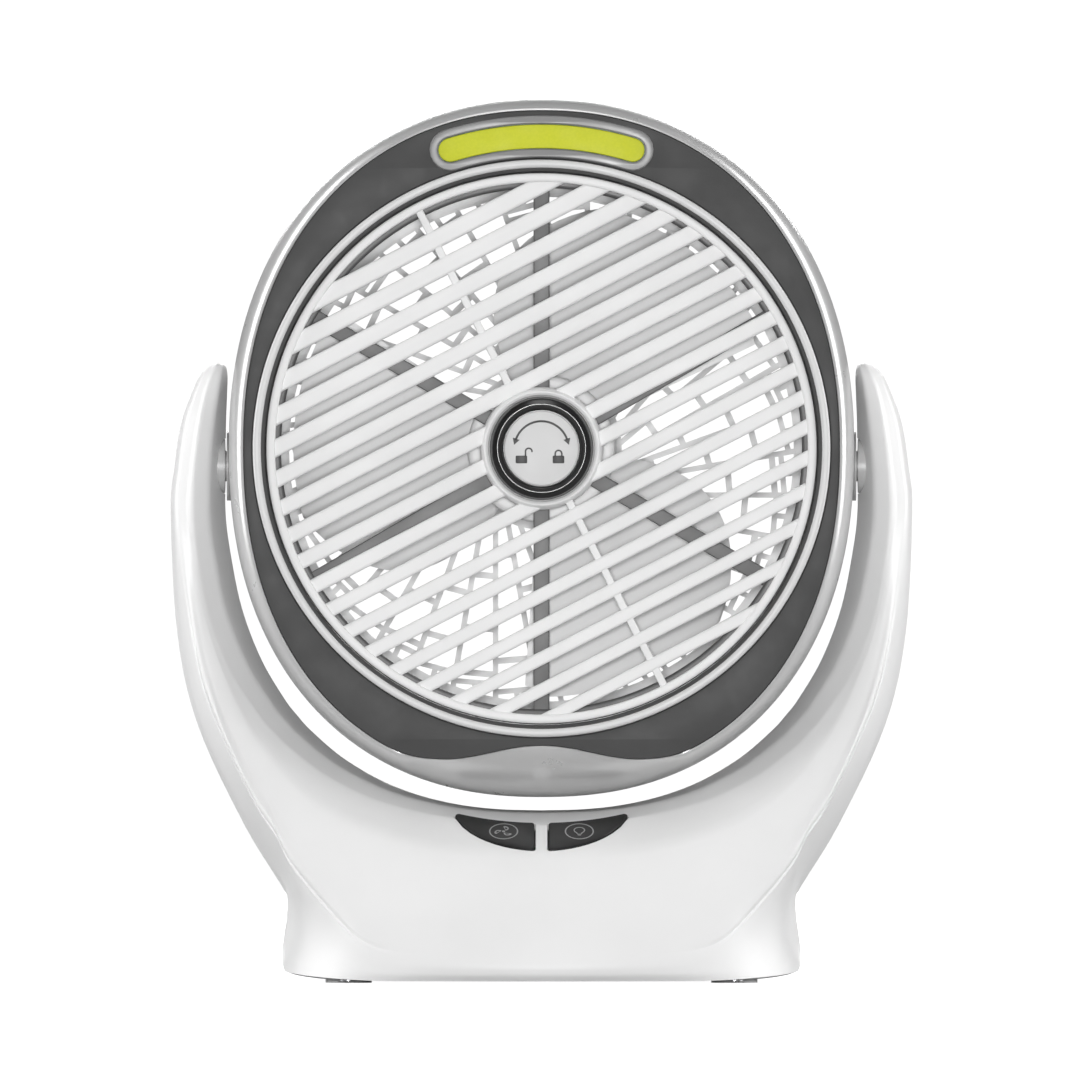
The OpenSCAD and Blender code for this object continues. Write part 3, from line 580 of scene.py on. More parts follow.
def cutter_prism(name, loop, to_world, depth0, depth1):
    """A closed prism over a flat loop; to_world places (u, v, depth) in millimetres."""
    n = len(loop)
    points = [to_world(u, v, depth0) for u, v in loop] + [to_world(u, v, depth1) for u, v in loop]
    faces = [list(range(n))[::-1], list(range(n, 2 * n))]
    faces += [[i, (i + 1) % n, n + (i + 1) % n, n + i] for i in range(n)]
    obj = add_mesh(name, points, faces, MAT["stand"])
    tidy_mesh(obj)
    return obj


def cut(target, *cutters):
    """Takes the cutters' volume out of the target, and removes the cutters.

    A cavity is a shell of its own until a later cut opens it, so its normals are left alone.
    """
    for cutter in cutters:
        mod = target.modifiers.new("cut", "BOOLEAN")
        mod.operation = "DIFFERENCE"
        mod.solver = "EXACT"
        mod.object = cutter
        apply_modifiers(target)
        bpy.data.objects.remove(cutter)
    work = bmesh.new()
    work.from_mesh(target.data)
    join_doubles(work, MERGE)
    work.to_mesh(target.data)
    work.free()


def circle(r, cx=0.0, cy=0.0, n=64):
    return [(cx + r * math.cos(2 * math.pi * i / n), cy + r * math.sin(2 * math.pi * i / n))
            for i in range(n)]


def front_place(u, v, depth):
    """A flat drawing seen from the front: u across, v up, depth along Y."""
    return u, depth, v


def hub_place(u, v, depth):
    return u, depth, HUB_Z + v


def side_place(u, v, depth):
    """A flat drawing seen along X: u is Y, v is Z."""
    return depth, u, v


def panel_place(u, v, height):
    """A flat drawing on the button panel: u across, v up the slope, height out of it."""
    c, s = math.cos(PANEL_ANGLE), math.sin(PANEL_ANGLE)
    return u, PANEL_Y + v * c - height * s, PANEL_Z + v * s + height * c


BUTTON_BAR = 3.7
LOWER_R = 23.5
UPPER_R = 54.3
UPPER_V = 12.9
BUTTON_V = 0.8
NOSE_R = 0.9


def button_loop(side, grow=0.0, corner=0.9):
    """One button's outline on the panel, with a round nose; side is -1 left and 1 right."""
    lower_c = BUTTON_V + LOWER_R
    upper_c = BUTTON_V + UPPER_V + UPPER_R
    within, beyond = (LOWER_R - NOSE_R) ** 2, (UPPER_R + NOSE_R) ** 2
    nose_v = ((within - beyond) / (upper_c - lower_c) + lower_c + upper_c) / 2
    nose_u = math.sqrt(within - (nose_v - lower_c) ** 2)
    start = math.atan2(nose_v - lower_c, nose_u)
    end = math.atan2(upper_c - nose_v, -nose_u)
    lower_r, upper_r, nose_r = LOWER_R + grow, UPPER_R - grow, NOSE_R + grow
    inner = BUTTON_BAR / 2 - grow
    nose = [(nose_u + nose_r * math.cos(a), nose_v + nose_r * math.sin(a), 0)
            for a in (start + (end - start) * k / 10 for k in range(11))]
    steps = 10
    loop = [(inner, lower_c - math.sqrt(lower_r ** 2 - inner ** 2), corner)]
    for k in range(1, steps):
        u = inner + (nose[0][0] - inner) * k / steps
        loop.append((u, lower_c - math.sqrt(lower_r ** 2 - u ** 2), 0))
    loop += nose
    for k in range(steps - 1, 0, -1):
        u = inner + (nose[-1][0] - inner) * k / steps
        loop.append((u, upper_c - math.sqrt(upper_r ** 2 - u ** 2), 0))
    loop.append((inner, upper_c - math.sqrt(upper_r ** 2 - inner ** 2), corner))
    loop = rounded_loop(loop, corner, 6)
    if side < 0:
        loop = [(-u, v) for u, v in reversed(loop)]
    return loop


def plate(name, loops, place, depth0, depth1, material, round_edge=0.3, segments=2):
    """A flat plate with holes from closed loops, with rounded edges, placed in the world."""
    curve = bpy.data.curves.new(name, "CURVE")
    curve.dimensions = "2D"
    curve.fill_mode = "BOTH"
    curve.extrude = ((depth1 - depth0) / 2 - round_edge) * MM
    curve.bevel_depth = round_edge * MM
    curve.bevel_resolution = segments
    curve.offset = -round_edge * MM
    for loop in loops:
        spline = curve.splines.new("POLY")
        spline.points.add(len(loop) - 1)
        for point, (u, v) in zip(spline.points, loop):
            point.co = (u * MM, v * MM, 0, 1)
        spline.use_cyclic_u = True
    holder = bpy.data.objects.new(name, curve)
    bpy.context.scene.collection.objects.link(holder)
    depsgraph = bpy.context.evaluated_depsgraph_get()
    mesh = bpy.data.meshes.new_from_object(holder.evaluated_get(depsgraph), depsgraph=depsgraph)
    bpy.data.objects.remove(holder)
    middle = (depth0 + depth1) / 2
    for v in mesh.vertices:
        u, w, d = v.co / MM
        v.co = Vector(place(u, w, middle + d)) * MM
    obj = bpy.data.objects.new(name, mesh)
    bpy.context.scene.collection.objects.link(obj)
    mesh.materials.clear()
    mesh.materials.append(material)
    tidy_mesh(obj, 0.002)
    soft_edges(obj, 40)
    return obj


front_stand = stand_shell("stand_front", -1)
rear_stand = stand_shell("stand_rear", 1)
for side in (-1, 1):
    hole = button_loop(side, grow=0.35, corner=1.2)
    cut(front_stand, cutter_prism("hole", hole, panel_place, -6, 6))
socket_low, socket_high = box_mm("charge_socket")
socket_loop = rounded_loop(
    [(socket_low[0] - 0.4, socket_low[2] - 0.4), (socket_high[0] + 0.4, socket_low[2] - 0.4),
     (socket_high[0] + 0.4, socket_high[2] + 0.4), (socket_low[0] - 0.4, socket_high[2] + 0.4)],
    1.9, 6)
cut(rear_stand, cutter_prism("hole", socket_loop, front_place, 30, 60))
lamp_low, lamp_high = box_mm("charge_lamp")
cut(rear_stand, cutter_prism(
    "hole", circle(1.65, (lamp_low[0] + lamp_high[0]) / 2, (lamp_low[2] + lamp_high[2]) / 2, 32),
    front_place, 30, 60))
BUSH_R = 7.2
for shell in (front_stand, rear_stand):
    for side in (-1, 1):
        cut(shell, cutter_prism("hole", circle(BUSH_R, 0, PIVOT_Z, 64), side_place,
                                side * (CRADLE_HALF_W - 1), side * (CRADLE_HALF_W + 3.2)))
SCREW_PLACES = [(44, 22), (86.9, 112)]
SCREW_R = 2.6


def rear_surface(obj, x, z):
    """How far back the object's skin is at this x and height."""
    hit, place, _, _ = obj.ray_cast(Vector((x, 80, z)) * MM, Vector((0, -1, 0)))
    return place.y / MM if hit else STAND_HIGH[1]


def cross_loop(r, w):
    """A cross for a driver, as a closed outline."""
    return [(r, w), (w, w), (w, r), (-w, r), (-w, w), (-r, w), (-r, -w), (-w, -w), (-w, -r),
            (w, -r), (w, -w), (r, -w)]


def screw_heads(node, body, places):
    """Low screw heads with cross recesses, facing the rear, in place of the node's."""
    for i, (x, z, top) in enumerate(places):
        def here(u, v, depth, x=x, z=z):
            return x + u, depth, z + v
        head_disc = plate(f"{node}_head_{i}", [circle(SCREW_R, n=40), cross_loop(1.35, 0.33)],
                          here, top - 0.75, top, MAT["steel"], 0.18, 3)
        if i == 0:
            stand_for(head_disc, body, node)
        else:
            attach(head_disc, body)
        shank = plate(f"{node}_shank_{i}", [circle(SCREW_R - 0.25, n=32)], here,
                      top - 1.2, top - 0.7, MAT["steel"], 0.1, 1)
        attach(shank, body)


shell_screw_places = []
for x, z in SCREW_PLACES:
    for side in (-1, 1):
        deep = rear_surface(rear_stand, side * x, z)
        cut(rear_stand, cutter_prism("hole", circle(2.95, side * x, z, 32), front_place,
                                     deep - 1.4, 70))
        shell_screw_places.append((side * x, z, deep - 0.35))
screw_heads("shell_screws", "base", shell_screw_places)
for shell in (front_stand, rear_stand):
    soft_edges(shell, 32)
stand_for(front_stand, "base", "base_front_shell")
stand_for(rear_stand, "base", "base_rear_shell")

# the bottom plate follows the foot's rim, drawn in, and is widest at the stand's parting line
PLATE_INSET = 2.6
PLATE_HALF_W = 64.4
rim_points = smooth_curve([r[-1] for r in STATIONS[:7]], 4)
quarter = [(p[0] - PLATE_INSET * min(1, p[0] / 40), p[1] + PLATE_INSET)
           for p in rim_points if p[1] < -3]
quarter.append((PLATE_HALF_W, 0))
plate_loop = quarter + [(x, -y) for x, y in reversed(quarter[:-1])]
plate_loop += [(-x, y) for x, y in reversed(plate_loop) if x > 0.01]


def floor_place(u, v, height):
    return u, v, height


plate_low, plate_high = box_mm("base_bottom_plate")
bottom = plate("bottom_plate", [plate_loop], floor_place, plate_low[2], plate_high[2],
               MAT["stand"], 0.4)
stand_for(bottom, "base", "base_bottom_plate")

# ---- buttons --------------------------------------------------------------------------------

ICON_U = 9.8
ICON_V = 9.4
ICON_R = 3.6
TOP = 0.4


def icon_place(side):
    return lambda u, v, height: panel_place(side * ICON_U + u, ICON_V + v, height)


def ring_loops(r, width, cx=0.0, cy=0.0, n=48):
    return [circle(r + width / 2, cx, cy, n), circle(r - width / 2, cx, cy, n)]


def stroke(points, width):
    """A flat ribbon with a round end at each end, along an open polyline."""
    p = [Vector(q) for q in points]
    left, right = [], []
    for i, here in enumerate(p):
        ahead = p[min(i + 1, len(p) - 1)] - p[max(i - 1, 0)]
        normal = Vector((-ahead.y, ahead.x)).normalized() * width / 2
        left.append(tuple(here + normal))
        right.append(tuple(here - normal))
    cap_end, cap_start = [], []
    for cap, at, toward in ((cap_end, p[-1], p[-1] - p[-2]), (cap_start, p[0], p[0] - p[1])):
        base = math.atan2(toward.y, toward.x)
        for k in range(1, 6):
            a = base + math.pi / 2 - math.pi * k / 6
            cap.append((at.x + width / 2 * math.cos(a), at.y + width / 2 * math.sin(a)))
    return left + cap_end + right[::-1] + cap_start


def fan_icon():
    """Three curved leaves round a dot, in a ring."""
    shapes = [ring_loops(ICON_R, 0.34)]
    shapes.append([circle(0.42, n=24)])
    for k in range(3):
        turn = math.radians(120 * k + 60)
        leaf = []
        for i in range(25):
            t = 2 * math.pi * i / 24
            r = 1.55 + 0.95 * math.cos(t)
            a = turn + 0.42 * math.sin(t) + 0.35 * (r - 1.5)
            leaf.append((r * math.cos(a), r * math.sin(a)))
        leaf = leaf[:-1]
        mid_u = sum(u for u, v in leaf) / len(leaf)
        mid_v = sum(v for u, v in leaf) / len(leaf)
        shapes.append([leaf, [(mid_u + 0.5 * (u - mid_u), mid_v + 0.5 * (v - mid_v))
                              for u, v in leaf]])
    return shapes


def bulb_icon():
    """A light bulb with its collar, in a ring."""
    shapes = [ring_loops(ICON_R, 0.34)]
    glass = []
    for i in range(33):
        a = math.radians(-55 + 290 * i / 32)
        glass.append((1.35 * math.cos(a), 0.55 + 1.35 * math.sin(a)))
    glass = [(0.55, -1.05)] + glass + [(-0.55, -1.05)]
    shapes.append([stroke(glass, 0.3)])
    for half, v in ((0.55, -1.35), (0.4, -1.8)):
        shapes.append([[(-half, v - 0.13), (half, v - 0.13), (half, v + 0.13), (-half, v + 0.13)]])
    return shapes


PRINT_THICK = 0.05


def prints(name, shapes, place, height, material, body):
    """Thin printed marks just proud of a face."""
    for i, loops in enumerate(shapes):
        mark = plate(f"{name}_{i}", loops, place, height - PRINT_THICK, height + PRINT_THICK / 2,
                     material, 0.01, 1)
        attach(mark, body)


for side, body, icon in ((-1, "fan_button", fan_icon()), (1, "light_button", bulb_icon())):
    cap = plate(f"{body}_cap", [button_loop(side)], panel_place, -2.2, TOP, MAT["button"], 0.32, 3)
    stand_for(cap, body, body)
    prints(f"{body}_icon", icon, icon_place(side), TOP, MAT["print_grey"], body)

# ---- the head's housing ---------------------------------------------------------------------

OUTLINE_COUNT = 240
EDGE_DEPTH = 14
REAR_EDGE_DEPTH = 20
REAR_INSET = 9.5
FRONT_INSET = 4.0
CHIN_INSET = 14.0


def smoothstep(t):
    t = min(1.0, max(0.0, t))
    return t * t * (3 - 2 * t)


def quarter_round(q):
    return 1 - math.sqrt(max(0.0, 1 - q * q))


def head_ring(y, extra=0.0):
    """The housing's outline at a depth: it rounds over to the front and more to the rear."""
    points = []
    base = egg(HEAD_HALF_W, HEAD_HALF_H, OUTLINE_COUNT)
    for x, z in base:
        low = smoothstep((56 - (HEAD_MID_Z + z)) / 8)
        if y < 0:
            q = max(0.0, (-y - (-HEAD_FRONT - EDGE_DEPTH)) / EDGE_DEPTH)
            inset = (FRONT_INSET + CHIN_INSET * low) * quarter_round(min(1.0, q))
        else:
            q = max(0.0, (y - (HEAD_REAR - REAR_EDGE_DEPTH)) / REAR_EDGE_DEPTH)
            inset = REAR_INSET * quarter_round(min(1.0, q))
        inset += extra
        points.append((x * (HEAD_HALF_W - inset) / HEAD_HALF_W, y,
                       HEAD_MID_Z + z * (HEAD_HALF_H - inset) / HEAD_HALF_H))
    return points


def loft(name, rings, material):
    count = len(rings[0])
    points = [p for ring in rings for p in ring]
    faces = grid_faces(len(rings), count, wrap=True)
    faces.append(list(range(count))[::-1])
    faces.append([(len(rings) - 1) * count + i for i in range(count)])
    obj = add_mesh(name, points, faces, material)
    tidy_mesh(obj)
    return obj


def edge_depths(start, end, steps):
    """Depths that crowd together towards the end, where the surface turns."""
    return [start + (end - start) * math.sin(math.pi / 2 * k / steps) for k in range(steps + 1)]


front_depths = edge_depths(HEAD_FRONT + EDGE_DEPTH, HEAD_FRONT, 14)[::-1]
rear_depths = edge_depths(HEAD_REAR - REAR_EDGE_DEPTH, HEAD_REAR, 12)
head = loft("head_housing", [head_ring(y) for y in front_depths + [0.0] + rear_depths],
            MAT["head"])
HEAD_WALL = 2.2
inner_depths = [HEAD_FRONT + HEAD_WALL, -24, -20, -14, 0, 11, 18, 24, HEAD_REAR - HEAD_WALL]
hollow = loft("hollow", [head_ring(y, HEAD_WALL) for y in inner_depths], MAT["head"])

WAVE_LOW = 57.8
WAVE_RISE = 3.7
WAVE_HALF = 26
WAVE_BLEND = 1.3


def bezel_loop(inset, margin=0.0):
    """The bezel's outline: the head's, drawn in, with its lower edge lifted in a smooth wave."""
    loop = []
    for x, z in head_outline(inset - margin, 480):
        rise = WAVE_RISE / 2 * (1 + math.cos(math.pi * x / WAVE_HALF)) if abs(x) < WAVE_HALF else 0
        wave = WAVE_LOW + rise - margin
        if z < HEAD_MID_Z - 20:
            high, low = max(z, wave), min(z, wave)
            z = high + WAVE_BLEND * math.log(1 + math.exp((low - high) / WAVE_BLEND))
        loop.append((x, z))
    return loop


BEZEL_INSET = 4
RING_HOLE = 75
cut(head, hollow,
    cutter_prism("hole", bezel_loop(BEZEL_INSET, 0.12), front_place, HEAD_FRONT - 2, -24.5),
    cutter_prism("hole", [(u, HUB_Z + v) for u, v in circle(67.5, n=192)], front_place,
                 HEAD_REAR - 4, HEAD_REAR + 3))
for side in (-1, 1):
    cut(head, cutter_prism("hole", circle(9.05, 0, PIVOT_Z, 96), side_place,
                           side * (HEAD_HALF_W - 5), side * (HEAD_HALF_W + 3)))
for a in (45, 135, 225, 315):
    u, v = 76 * math.cos(math.radians(a)), 76 * math.sin(math.radians(a))
    cut(head, cutter_prism("hole", circle(2.9, u, HUB_Z + v, 32), front_place,
                           HEAD_REAR - 1.3, HEAD_REAR + 3))
HEAD_SCREWS = [(76 * math.cos(math.radians(a)), HUB_Z + 76 * math.sin(math.radians(a)),
                HEAD_REAR - 0.35) for a in (45, 135, 225, 315)]
screw_heads("head_screws", "head", HEAD_SCREWS)
screw_heads("motor_screws", "head",
            [(9 * math.cos(math.radians(a)), HUB_Z - 9 * math.sin(math.radians(a)),
              HEAD_REAR - 0.5) for a in (0, 120, 240)])
soft_edges(head, 30)
stand_for(head, "head", "head_shell")

# ---- bezel, lamp and rings ------------------------------------------------------------------

LAMP_R = 80.8
LAMP_HALF_ANGLE = 17
LAMP_HALF_H = 3.1
LAMP_RIM = 5.4


def lamp_loop(half_h, steps=32, caps=10):
    """A bent slot with round ends, over the top of the hub."""
    loop = []
    for i in range(steps + 1):
        a = math.radians(90 - LAMP_HALF_ANGLE + 2 * LAMP_HALF_ANGLE * i / steps)
        loop.append(((LAMP_R + half_h) * math.cos(a), (LAMP_R + half_h) * math.sin(a)))
    for i in range(1, caps):
        a = math.radians(90 + LAMP_HALF_ANGLE)
        b = a + math.pi * i / caps
        loop.append((LAMP_R * math.cos(a) + half_h * math.cos(b),
                     LAMP_R * math.sin(a) + half_h * math.sin(b)))
    for i in range(steps + 1):
        a = math.radians(90 + LAMP_HALF_ANGLE - 2 * LAMP_HALF_ANGLE * i / steps)
        loop.append(((LAMP_R - half_h) * math.cos(a), (LAMP_R - half_h) * math.sin(a)))
    for i in range(1, caps):
        a = math.radians(90 - LAMP_HALF_ANGLE)
        b = a + math.pi + math.pi * i / caps
        loop.append((LAMP_R * math.cos(a) + half_h * math.cos(b),
                     LAMP_R * math.sin(a) + half_h * math.sin(b)))
    return loop


def hub_loop(loop):
    return [(u, v - HUB_Z) for u, v in loop]


bezel = plate("bezel_plate", [hub_loop(bezel_loop(BEZEL_INSET)), circle(RING_HOLE, n=256),
                              lamp_loop(LAMP_HALF_H + 1.1)],
              hub_place, HEAD_FRONT, HEAD_FRONT + 2, MAT["bezel"], 0.25, 2)
stand_for(bezel, "head", "front_bezel")
duct = lathe("bezel_duct", [(71.8, -25.2), (74.3, -25.2), (74.3, 12), (71.8, 12)],
             MAT["guard"], 192)
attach(duct, "head")
backing = lathe("bezel_backing", [(71.8, -25.9), (76.2, -25.9), (76.2, -25.0), (71.8, -25.0)],
                MAT["guard"], 192)
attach(backing, "head")
for i, a in enumerate((45, 135, 225, 315)):
    u, v = 76 * math.cos(math.radians(a)), 76 * math.sin(math.radians(a))
    post = plate(f"bezel_post_{i}", [circle(3.2, u, v, 32), circle(1.3, u, v, 24)], hub_place,
                 -25.5, 28.6, MAT["guard"], 0.1, 1)
    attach(post, "head")


def round_profile(r0, r1, y0, y1, round_r, steps=4):
    """The closed rectangle r0-r1 by y0-y1 with rounded corners at y0, its front."""
    return rounded_loop([(r0, y0, round_r), (r1, y0, round_r), (r1, y1, 0.1), (r0, y1, 0.1)],
                        round_r, steps)


trim = lathe("trim_band", round_profile(72.7, 74.8, HEAD_FRONT - 1.6, HEAD_FRONT + 2, 0.9),
             MAT["trim"], 256)
stand_for(trim, "head", "trim_ring")

rim_front = HEAD_FRONT - 1
surround = plate("lamp_rim", [lamp_loop(LAMP_RIM), lamp_loop(LAMP_HALF_H + 0.15)], hub_place,
                 rim_front, HEAD_FRONT - 0.02, MAT["lamp_rim"], 0.35, 3)
stand_for(surround, "head", "lamp_surround")
diffuser = plate("lamp_window", [lamp_loop(LAMP_HALF_H)], hub_place, HEAD_FRONT - 0.55,
                 HEAD_FRONT + 2, MAT["lamp"], 0.3, 3)
stand_for(diffuser, "head", "lamp_diffuser")

# ---- front grille ---------------------------------------------------------------------------

SLAT_COUNT = 18
SLAT_PITCH = 7.27
SLAT_ANGLE = math.radians(27.3)
SLAT_FRONT = -27.6
SLAT_BACK = -23.4
FIRST_SLAT = 60.7
GRILLE_R = 71.3
GRILLE_INNER = 69
COLLAR_R = 14.8
RECESS_R = 13.7


def slat_place(u, v, depth):
    c, s = math.cos(SLAT_ANGLE), math.sin(SLAT_ANGLE)
    return c * u - s * v, depth, HUB_Z + s * u + c * v


ring = lathe("grille_ring", round_profile(GRILLE_INNER, GRILLE_R, HEAD_FRONT - 0.6, -20.5, 0.9),
             MAT["grille"], 256)
stand_for(ring, "head", "front_grille")


def slat_mesh(name, v0, v1, ends, round_r):
    """A slat with a rounded front; each end is a circle's radius, or minus it for the far side."""
    profile = rounded_loop([(v0, SLAT_FRONT, round_r), (v1, SLAT_FRONT, round_r),
                            (v1, SLAT_BACK, 0.3), (v0, SLAT_BACK, 0.3)], round_r, 5)
    n = len(profile)
    points = []
    for end in ends:
        for v, y in profile:
            u = math.sqrt(max(0.0, end * end - v * v))
            points.append(slat_place(math.copysign(u, end), v, y))
    faces = [list(range(n)), list(range(n, 2 * n))[::-1]]
    faces += [[i, n + i, n + (i + 1) % n, (i + 1) % n] for i in range(n)]
    bar = add_mesh(name, points, faces, MAT["grille"])
    tidy_mesh(bar)
    soft_edges(bar, 30)
    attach(bar, "head")


SLAT_END = 70.2
SLAT_ROUND = 0.9
for i in range(SLAT_COUNT):
    off = FIRST_SLAT - SLAT_PITCH * i
    wide = 4.7 - 1.4 * i / (SLAT_COUNT - 1)
    ends = [(-SLAT_END, SLAT_END)]
    if abs(off) + wide / 2 < COLLAR_R:
        ends = [(-SLAT_END, -COLLAR_R + 0.4), (COLLAR_R - 0.4, SLAT_END)]
    for k, pair in enumerate(ends):
        slat_mesh(f"grille_slat_{i}_{k}", off - wide / 2, off + wide / 2, pair, SLAT_ROUND)


for k, (u0, u1) in enumerate(((-GRILLE_INNER - 0.6, -COLLAR_R + 0.5),
                              (COLLAR_R - 0.5, GRILLE_INNER + 0.6))):
    rib = plate(f"grille_rib_{k}", [[(-1, u0), (1, u0), (1, u1), (-1, u1)]], slat_place,
                SLAT_FRONT + 0.35, SLAT_BACK, MAT["grille"], 0.4, 3)
    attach(rib, "head")

collar = lathe("grille_collar", rounded_loop(
    [(COLLAR_R, -22, 0.2), (COLLAR_R + 1.2, -25.6, 1.5), (COLLAR_R, -29.8, 0.9),
     (RECESS_R, -29.2, 0.5), (RECESS_R, -24.4, 0.1), (5.06, -24.4, 0.1), (5.06, -22, 0.1)],
    0.3, 5), MAT["grille"], 128)
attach(collar, "head")

# ---- knob -----------------------------------------------------------------------------------

knob_low, knob_high = box_mm("lock_knob")
knob_front = knob_low[1]
knob = lathe("knob_body", rounded_loop(
    [(13.3, knob_high[1], 0.2), (13.4, -29.6, 0.8), (12.9, knob_front + 0.55, 0.6),
     (11.5, knob_front, 0.8), (10.15, knob_front + 0.25, 0.35), (9.95, -31.05, 0.1),
     (5.0, -31.05, 0.1), (5.0, knob_high[1], 0.1)], 0.3, 5), MAT["gloss_black"], 160)
stand_for(knob, "lock_knob", "lock_knob")
face_low, face_high = box_mm("knob_face")
face = lathe("knob_label", rounded_loop(
    [(0.02, face_low[1], 0), (9.7, face_low[1], 0.35), (9.7, face_high[1], 0.05),
     (0.02, face_high[1], 0)], 0.3, 4), MAT["knob_face"], 160)
tidy_mesh(face, 0.05)
stand_for(face, "lock_knob", "knob_face")


def arc_points(r, a0, a1, steps=32):
    return [(r * math.cos(math.radians(a0 + (a1 - a0) * i / steps)),
             r * math.sin(math.radians(a0 + (a1 - a0) * i / steps))) for i in range(steps + 1)]


def arrow_head(r, a, direction, size=1.5):
    """A solid triangle at the end of an arc, pointing along it."""
    at = Vector((r * math.cos(math.radians(a)), r * math.sin(math.radians(a))))
    along = Vector((-math.sin(math.radians(a)), math.cos(math.radians(a)))) * direction
    side = Vector((along.y, -along.x))
    return [tuple(at + along * size), tuple(at + side * size * 0.62 - along * 0.2),
            tuple(at - side * size * 0.62 - along * 0.2)]


def padlock(cx, cy, is_open):
    """A padlock's body and its shackle, shut or swung open."""
    body = [(cx - 1.5, cy - 1.5), (cx + 1.5, cy - 1.5), (cx + 1.5, cy + 0.5), (cx - 1.5, cy + 0.5)]
    lift = 0.55 if is_open else 0.0
    shift = 1.9 if is_open else 0.0
    shackle = [(cx - 0.85 + shift, cy + 0.5 if not is_open else cy + 0.9 + lift)]
    for i in range(13):
        a = math.pi - math.pi * i / 12
        shackle.append((cx + shift + 0.85 * math.cos(a), cy + 1.0 + lift + 0.85 * math.sin(a)))
    shackle.append((cx + 0.85 + shift, cy + 0.5 if not is_open else cy + 0.9 + lift))
    if is_open:
        shackle = shackle[1:-1]
        shackle.insert(0, (cx - 0.85 + shift, cy + 0.5))
    return [[rounded_loop(body, 0.3, 3)], [stroke(shackle, 0.42)]]


ARROW_R = 7.0
knob_marks = [[stroke(arc_points(ARROW_R, 20, 160), 0.55)],
              [arrow_head(ARROW_R, 19, -1)], [arrow_head(ARROW_R, 161, 1)]]
knob_marks += padlock(4.4, -2.4, False)
knob_marks += padlock(-5.2, -2.4, True)
prints("knob_mark", knob_marks, hub_place, face_low[1], MAT["print_black"], "lock_knob")

# ---- guard behind the grille ----------------------------------------------------------------

guard_ring = lathe("guard_ring", round_profile(67.6, 71.6, -20, -15, 0.8), MAT["guard"], 192)
stand_for(guard_ring, "head", "spoke_frame")
guard_boss = plate("guard_boss", [circle(13, n=96), [(-1.9, -9.3), (1.9, -9.3), (1.9, 9.3), (-1.9, 9.3)]],
                   hub_place, -20, -15, MAT["guard"], 0.5, 2)
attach(guard_boss, "head")
for i in range(6):
    a = math.radians(60 * i + 30)

    def spoke_place(u, v, depth, a=a):
        return (u * math.cos(a) - v * math.sin(a), depth,
                HUB_Z + u * math.sin(a) + v * math.cos(a))
    spoke = plate(f"guard_spoke_{i}", [[(11.5, -2.07), (69, -2.07), (69, 2.07), (11.5, 2.07)]],
                  spoke_place, -19.6, -15.8, MAT["guard"], 0.3, 3)
    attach(spoke, "head")

# ---- impeller -------------------------------------------------------------------------------

BLADE_ROOT = 18
BLADE_TIP = 64.6
BLADE_EDGE = -94
BLADE_FRONT = -9.5
BLADE_DEPTH = 17
BLADE_THICK = 1.3


def sweep_angle(r):
    t = (r - BLADE_ROOT) / (BLADE_TIP - BLADE_ROOT)
    return -5 - 8 * t - 31 * t ** 3


def blade_mesh(name, turn):
    cols, rows = 28, 28
    front, back = [], []
    for i in range(cols + 1):
        for j in range(rows + 1):
            u, v = i / cols, j / rows
            r = BLADE_ROOT + (BLADE_TIP - BLADE_ROOT) * v
            round_off = 1 - 0.045 * smoothstep((v - 0.9) / 0.1) * (1 - smoothstep(u / 0.12))
            a = math.radians(BLADE_EDGE + (sweep_angle(r) - BLADE_EDGE) * u + turn)
            lean = 1 - 0.35 * v
            y = BLADE_FRONT + BLADE_DEPTH * (0.5 + (u - 0.5) * lean)
            y -= 0.9 * math.sin(math.pi * u) * v
            edge = min(1.0, min(u, 1 - u) / 0.06)
            half = BLADE_THICK / 2 * (0.45 + 0.55 * math.sqrt(edge)) * (1.2 - 0.35 * v)
            front.append((r * math.cos(a) * round_off, y - half, HUB_Z + r * math.sin(a) * round_off))
            back.append((r * math.cos(a) * round_off, y + half, HUB_Z + r * math.sin(a) * round_off))
    faces = grid_faces(cols + 1, rows + 1)
    count = len(front)
    faces += [[i + count for i in f][::-1] for f in faces]
    rim = ([(i, 0) for i in range(cols)] + [(cols, j) for j in range(rows)]
           + [(cols - i, rows) for i in range(cols)] + [(0, rows - j) for j in range(rows)])
    for k in range(len(rim)):
        a, b = rim[k], rim[(k + 1) % len(rim)]
        ia, ib = a[0] * (rows + 1) + a[1], b[0] * (rows + 1) + b[1]
        faces.append([ia, ib, ib + count, ia + count])
    obj = add_mesh(name, front + back, faces, MAT["blade"])
    tidy_mesh(obj)
    soft_edges(obj, 50)
    return obj


hub_cup = lathe("impeller_cup", rounded_loop(
    [(2.2, -11, 0.1), (19.2, -11, 1.6), (19.2, 9, 0.3), (17.2, 9, 0.3), (17.2, -9, 0.5),
     (2.2, -9, 0.1)], 0.3, 5), MAT["blade"], 160)
stand_for(hub_cup, "impeller", "impeller")
for i in range(3):
    blade = blade_mesh(f"impeller_blade_{i}", 120 * i)
    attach(blade, "impeller")

# ---- floor, light and camera ----------------------------------------------------------------


def area_light(name, place, aim, size, power, size_y=None):
    data = bpy.data.lights.new(name, "AREA")
    data.energy = power
    data.size = size
    if size_y:
        data.shape = "RECTANGLE"
        data.size_y = size_y
    light = bpy.data.objects.new(name, data)
    bpy.context.scene.collection.objects.link(light)
    light.location = place
    light.rotation_mode = "QUATERNION"
    light.rotation_quaternion = (Vector(aim) - Vector(place)).to_track_quat("-Z", "Y")
    return light


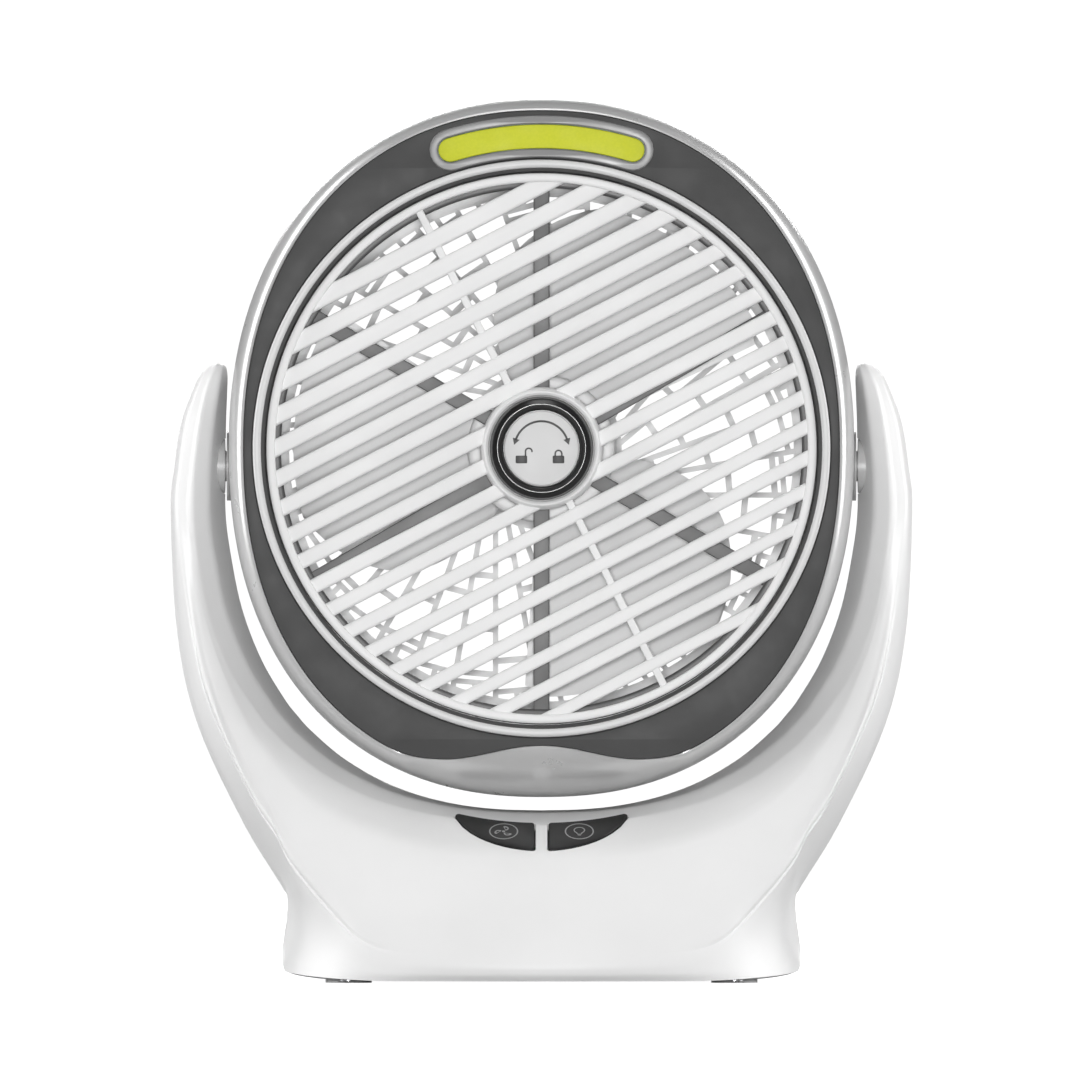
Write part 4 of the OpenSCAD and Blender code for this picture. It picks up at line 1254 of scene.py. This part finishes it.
def camera_white(tree, other, low, high):
    """A strength that is high for what the camera sees directly and low for all other rays."""
    path = tree.nodes.new("ShaderNodeLightPath")
    strength = tree.nodes.new("ShaderNodeMix")
    strength.inputs["A"].default_value = low
    strength.inputs["B"].default_value = high
    tree.links.new(path.outputs["Is Camera Ray"], strength.inputs["Factor"])
    if other is not None:
        tree.links.new(other, strength.inputs["A"])
    return strength.outputs["Result"]


FLOOR_GLOW = 0.0
CAMERA_GLOW = 1.0
floor_material, floor_tree, floor_shader = new_material("floor_white")
floor_shader.inputs["Base Color"].default_value = (0.35, 0.35, 0.35, 1)
floor_shader.inputs["Roughness"].default_value = 0.8
floor_shader.inputs["Emission Color"].default_value = (1, 1, 1, 1)
floor_tree.links.new(camera_white(floor_tree, None, FLOOR_GLOW, CAMERA_GLOW),
                     floor_shader.inputs["Emission Strength"])
floor = add_mesh("floor", [(-1500, -1500, 0), (1500, -1500, 0), (1500, 1500, 0), (-1500, 1500, 0)],
                 [[0, 1, 2, 3]], floor_material, False)

WORLD_UP = 0.06
WORLD_SIDE = 0.11
WORLD_CAMERA = 1.05
world = bpy.data.worlds.new("studio")
bpy.context.scene.world = world
world.use_nodes = True
sky = world.node_tree
background = sky.nodes["Background"]
where = sky.nodes.new("ShaderNodeTexCoord")
parts = sky.nodes.new("ShaderNodeSeparateXYZ")
height = sky.nodes.new("ShaderNodeMapRange")
height.inputs["From Min"].default_value = 0.1
height.inputs["From Max"].default_value = 0.9
height.inputs["To Min"].default_value = WORLD_SIDE
height.inputs["To Max"].default_value = WORLD_UP
sky.links.new(where.outputs["Generated"], parts.inputs["Vector"])
sky.links.new(parts.outputs["Z"], height.inputs["Value"])
sky.links.new(camera_white(sky, height.outputs["Result"], WORLD_SIDE, WORLD_CAMERA),
              background.inputs["Strength"])
background.inputs["Color"].default_value = (1, 1, 1, 1)

CENTRE = (0, 0, 0.115)
area_light("left_box", (-0.85, 0.0, 0.42), CENTRE, 0.6, 9.0, 1.1)
area_light("right_box", (0.85, 0.0, 0.42), CENTRE, 0.6, 9.0, 1.1)
area_light("axis_box", (0, -1.9, 0.13), CENTRE, 0.16, 20.0, 0.16)
area_light("high_box", (0, -1.2, 1.1), CENTRE, 0.5, 3.0, 0.5)
area_light("rear_box", (0, 1.6, 0.7), CENTRE, 0.9, 14.0, 0.6)

CAMERA_BACK = 6.0
CAMERA_Z = 0.1154
CAMERA_X = -0.00039
VIEW_WIDTH = 0.2804
VIEW_DEPTH = CAMERA_BACK - 0.014
camera_data = bpy.data.cameras.new("camera")
camera_data.sensor_width = 36
camera_data.lens = 36 * VIEW_DEPTH / VIEW_WIDTH
camera_data.clip_end = 20
camera = bpy.data.objects.new("camera", camera_data)
bpy.context.scene.collection.objects.link(camera)
camera.location = (CAMERA_X, -CAMERA_BACK, CAMERA_Z)
camera.rotation_euler = (math.radians(90), 0, 0)
bpy.context.scene.camera = camera
bpy.context.scene.view_settings.view_transform = "Standard"
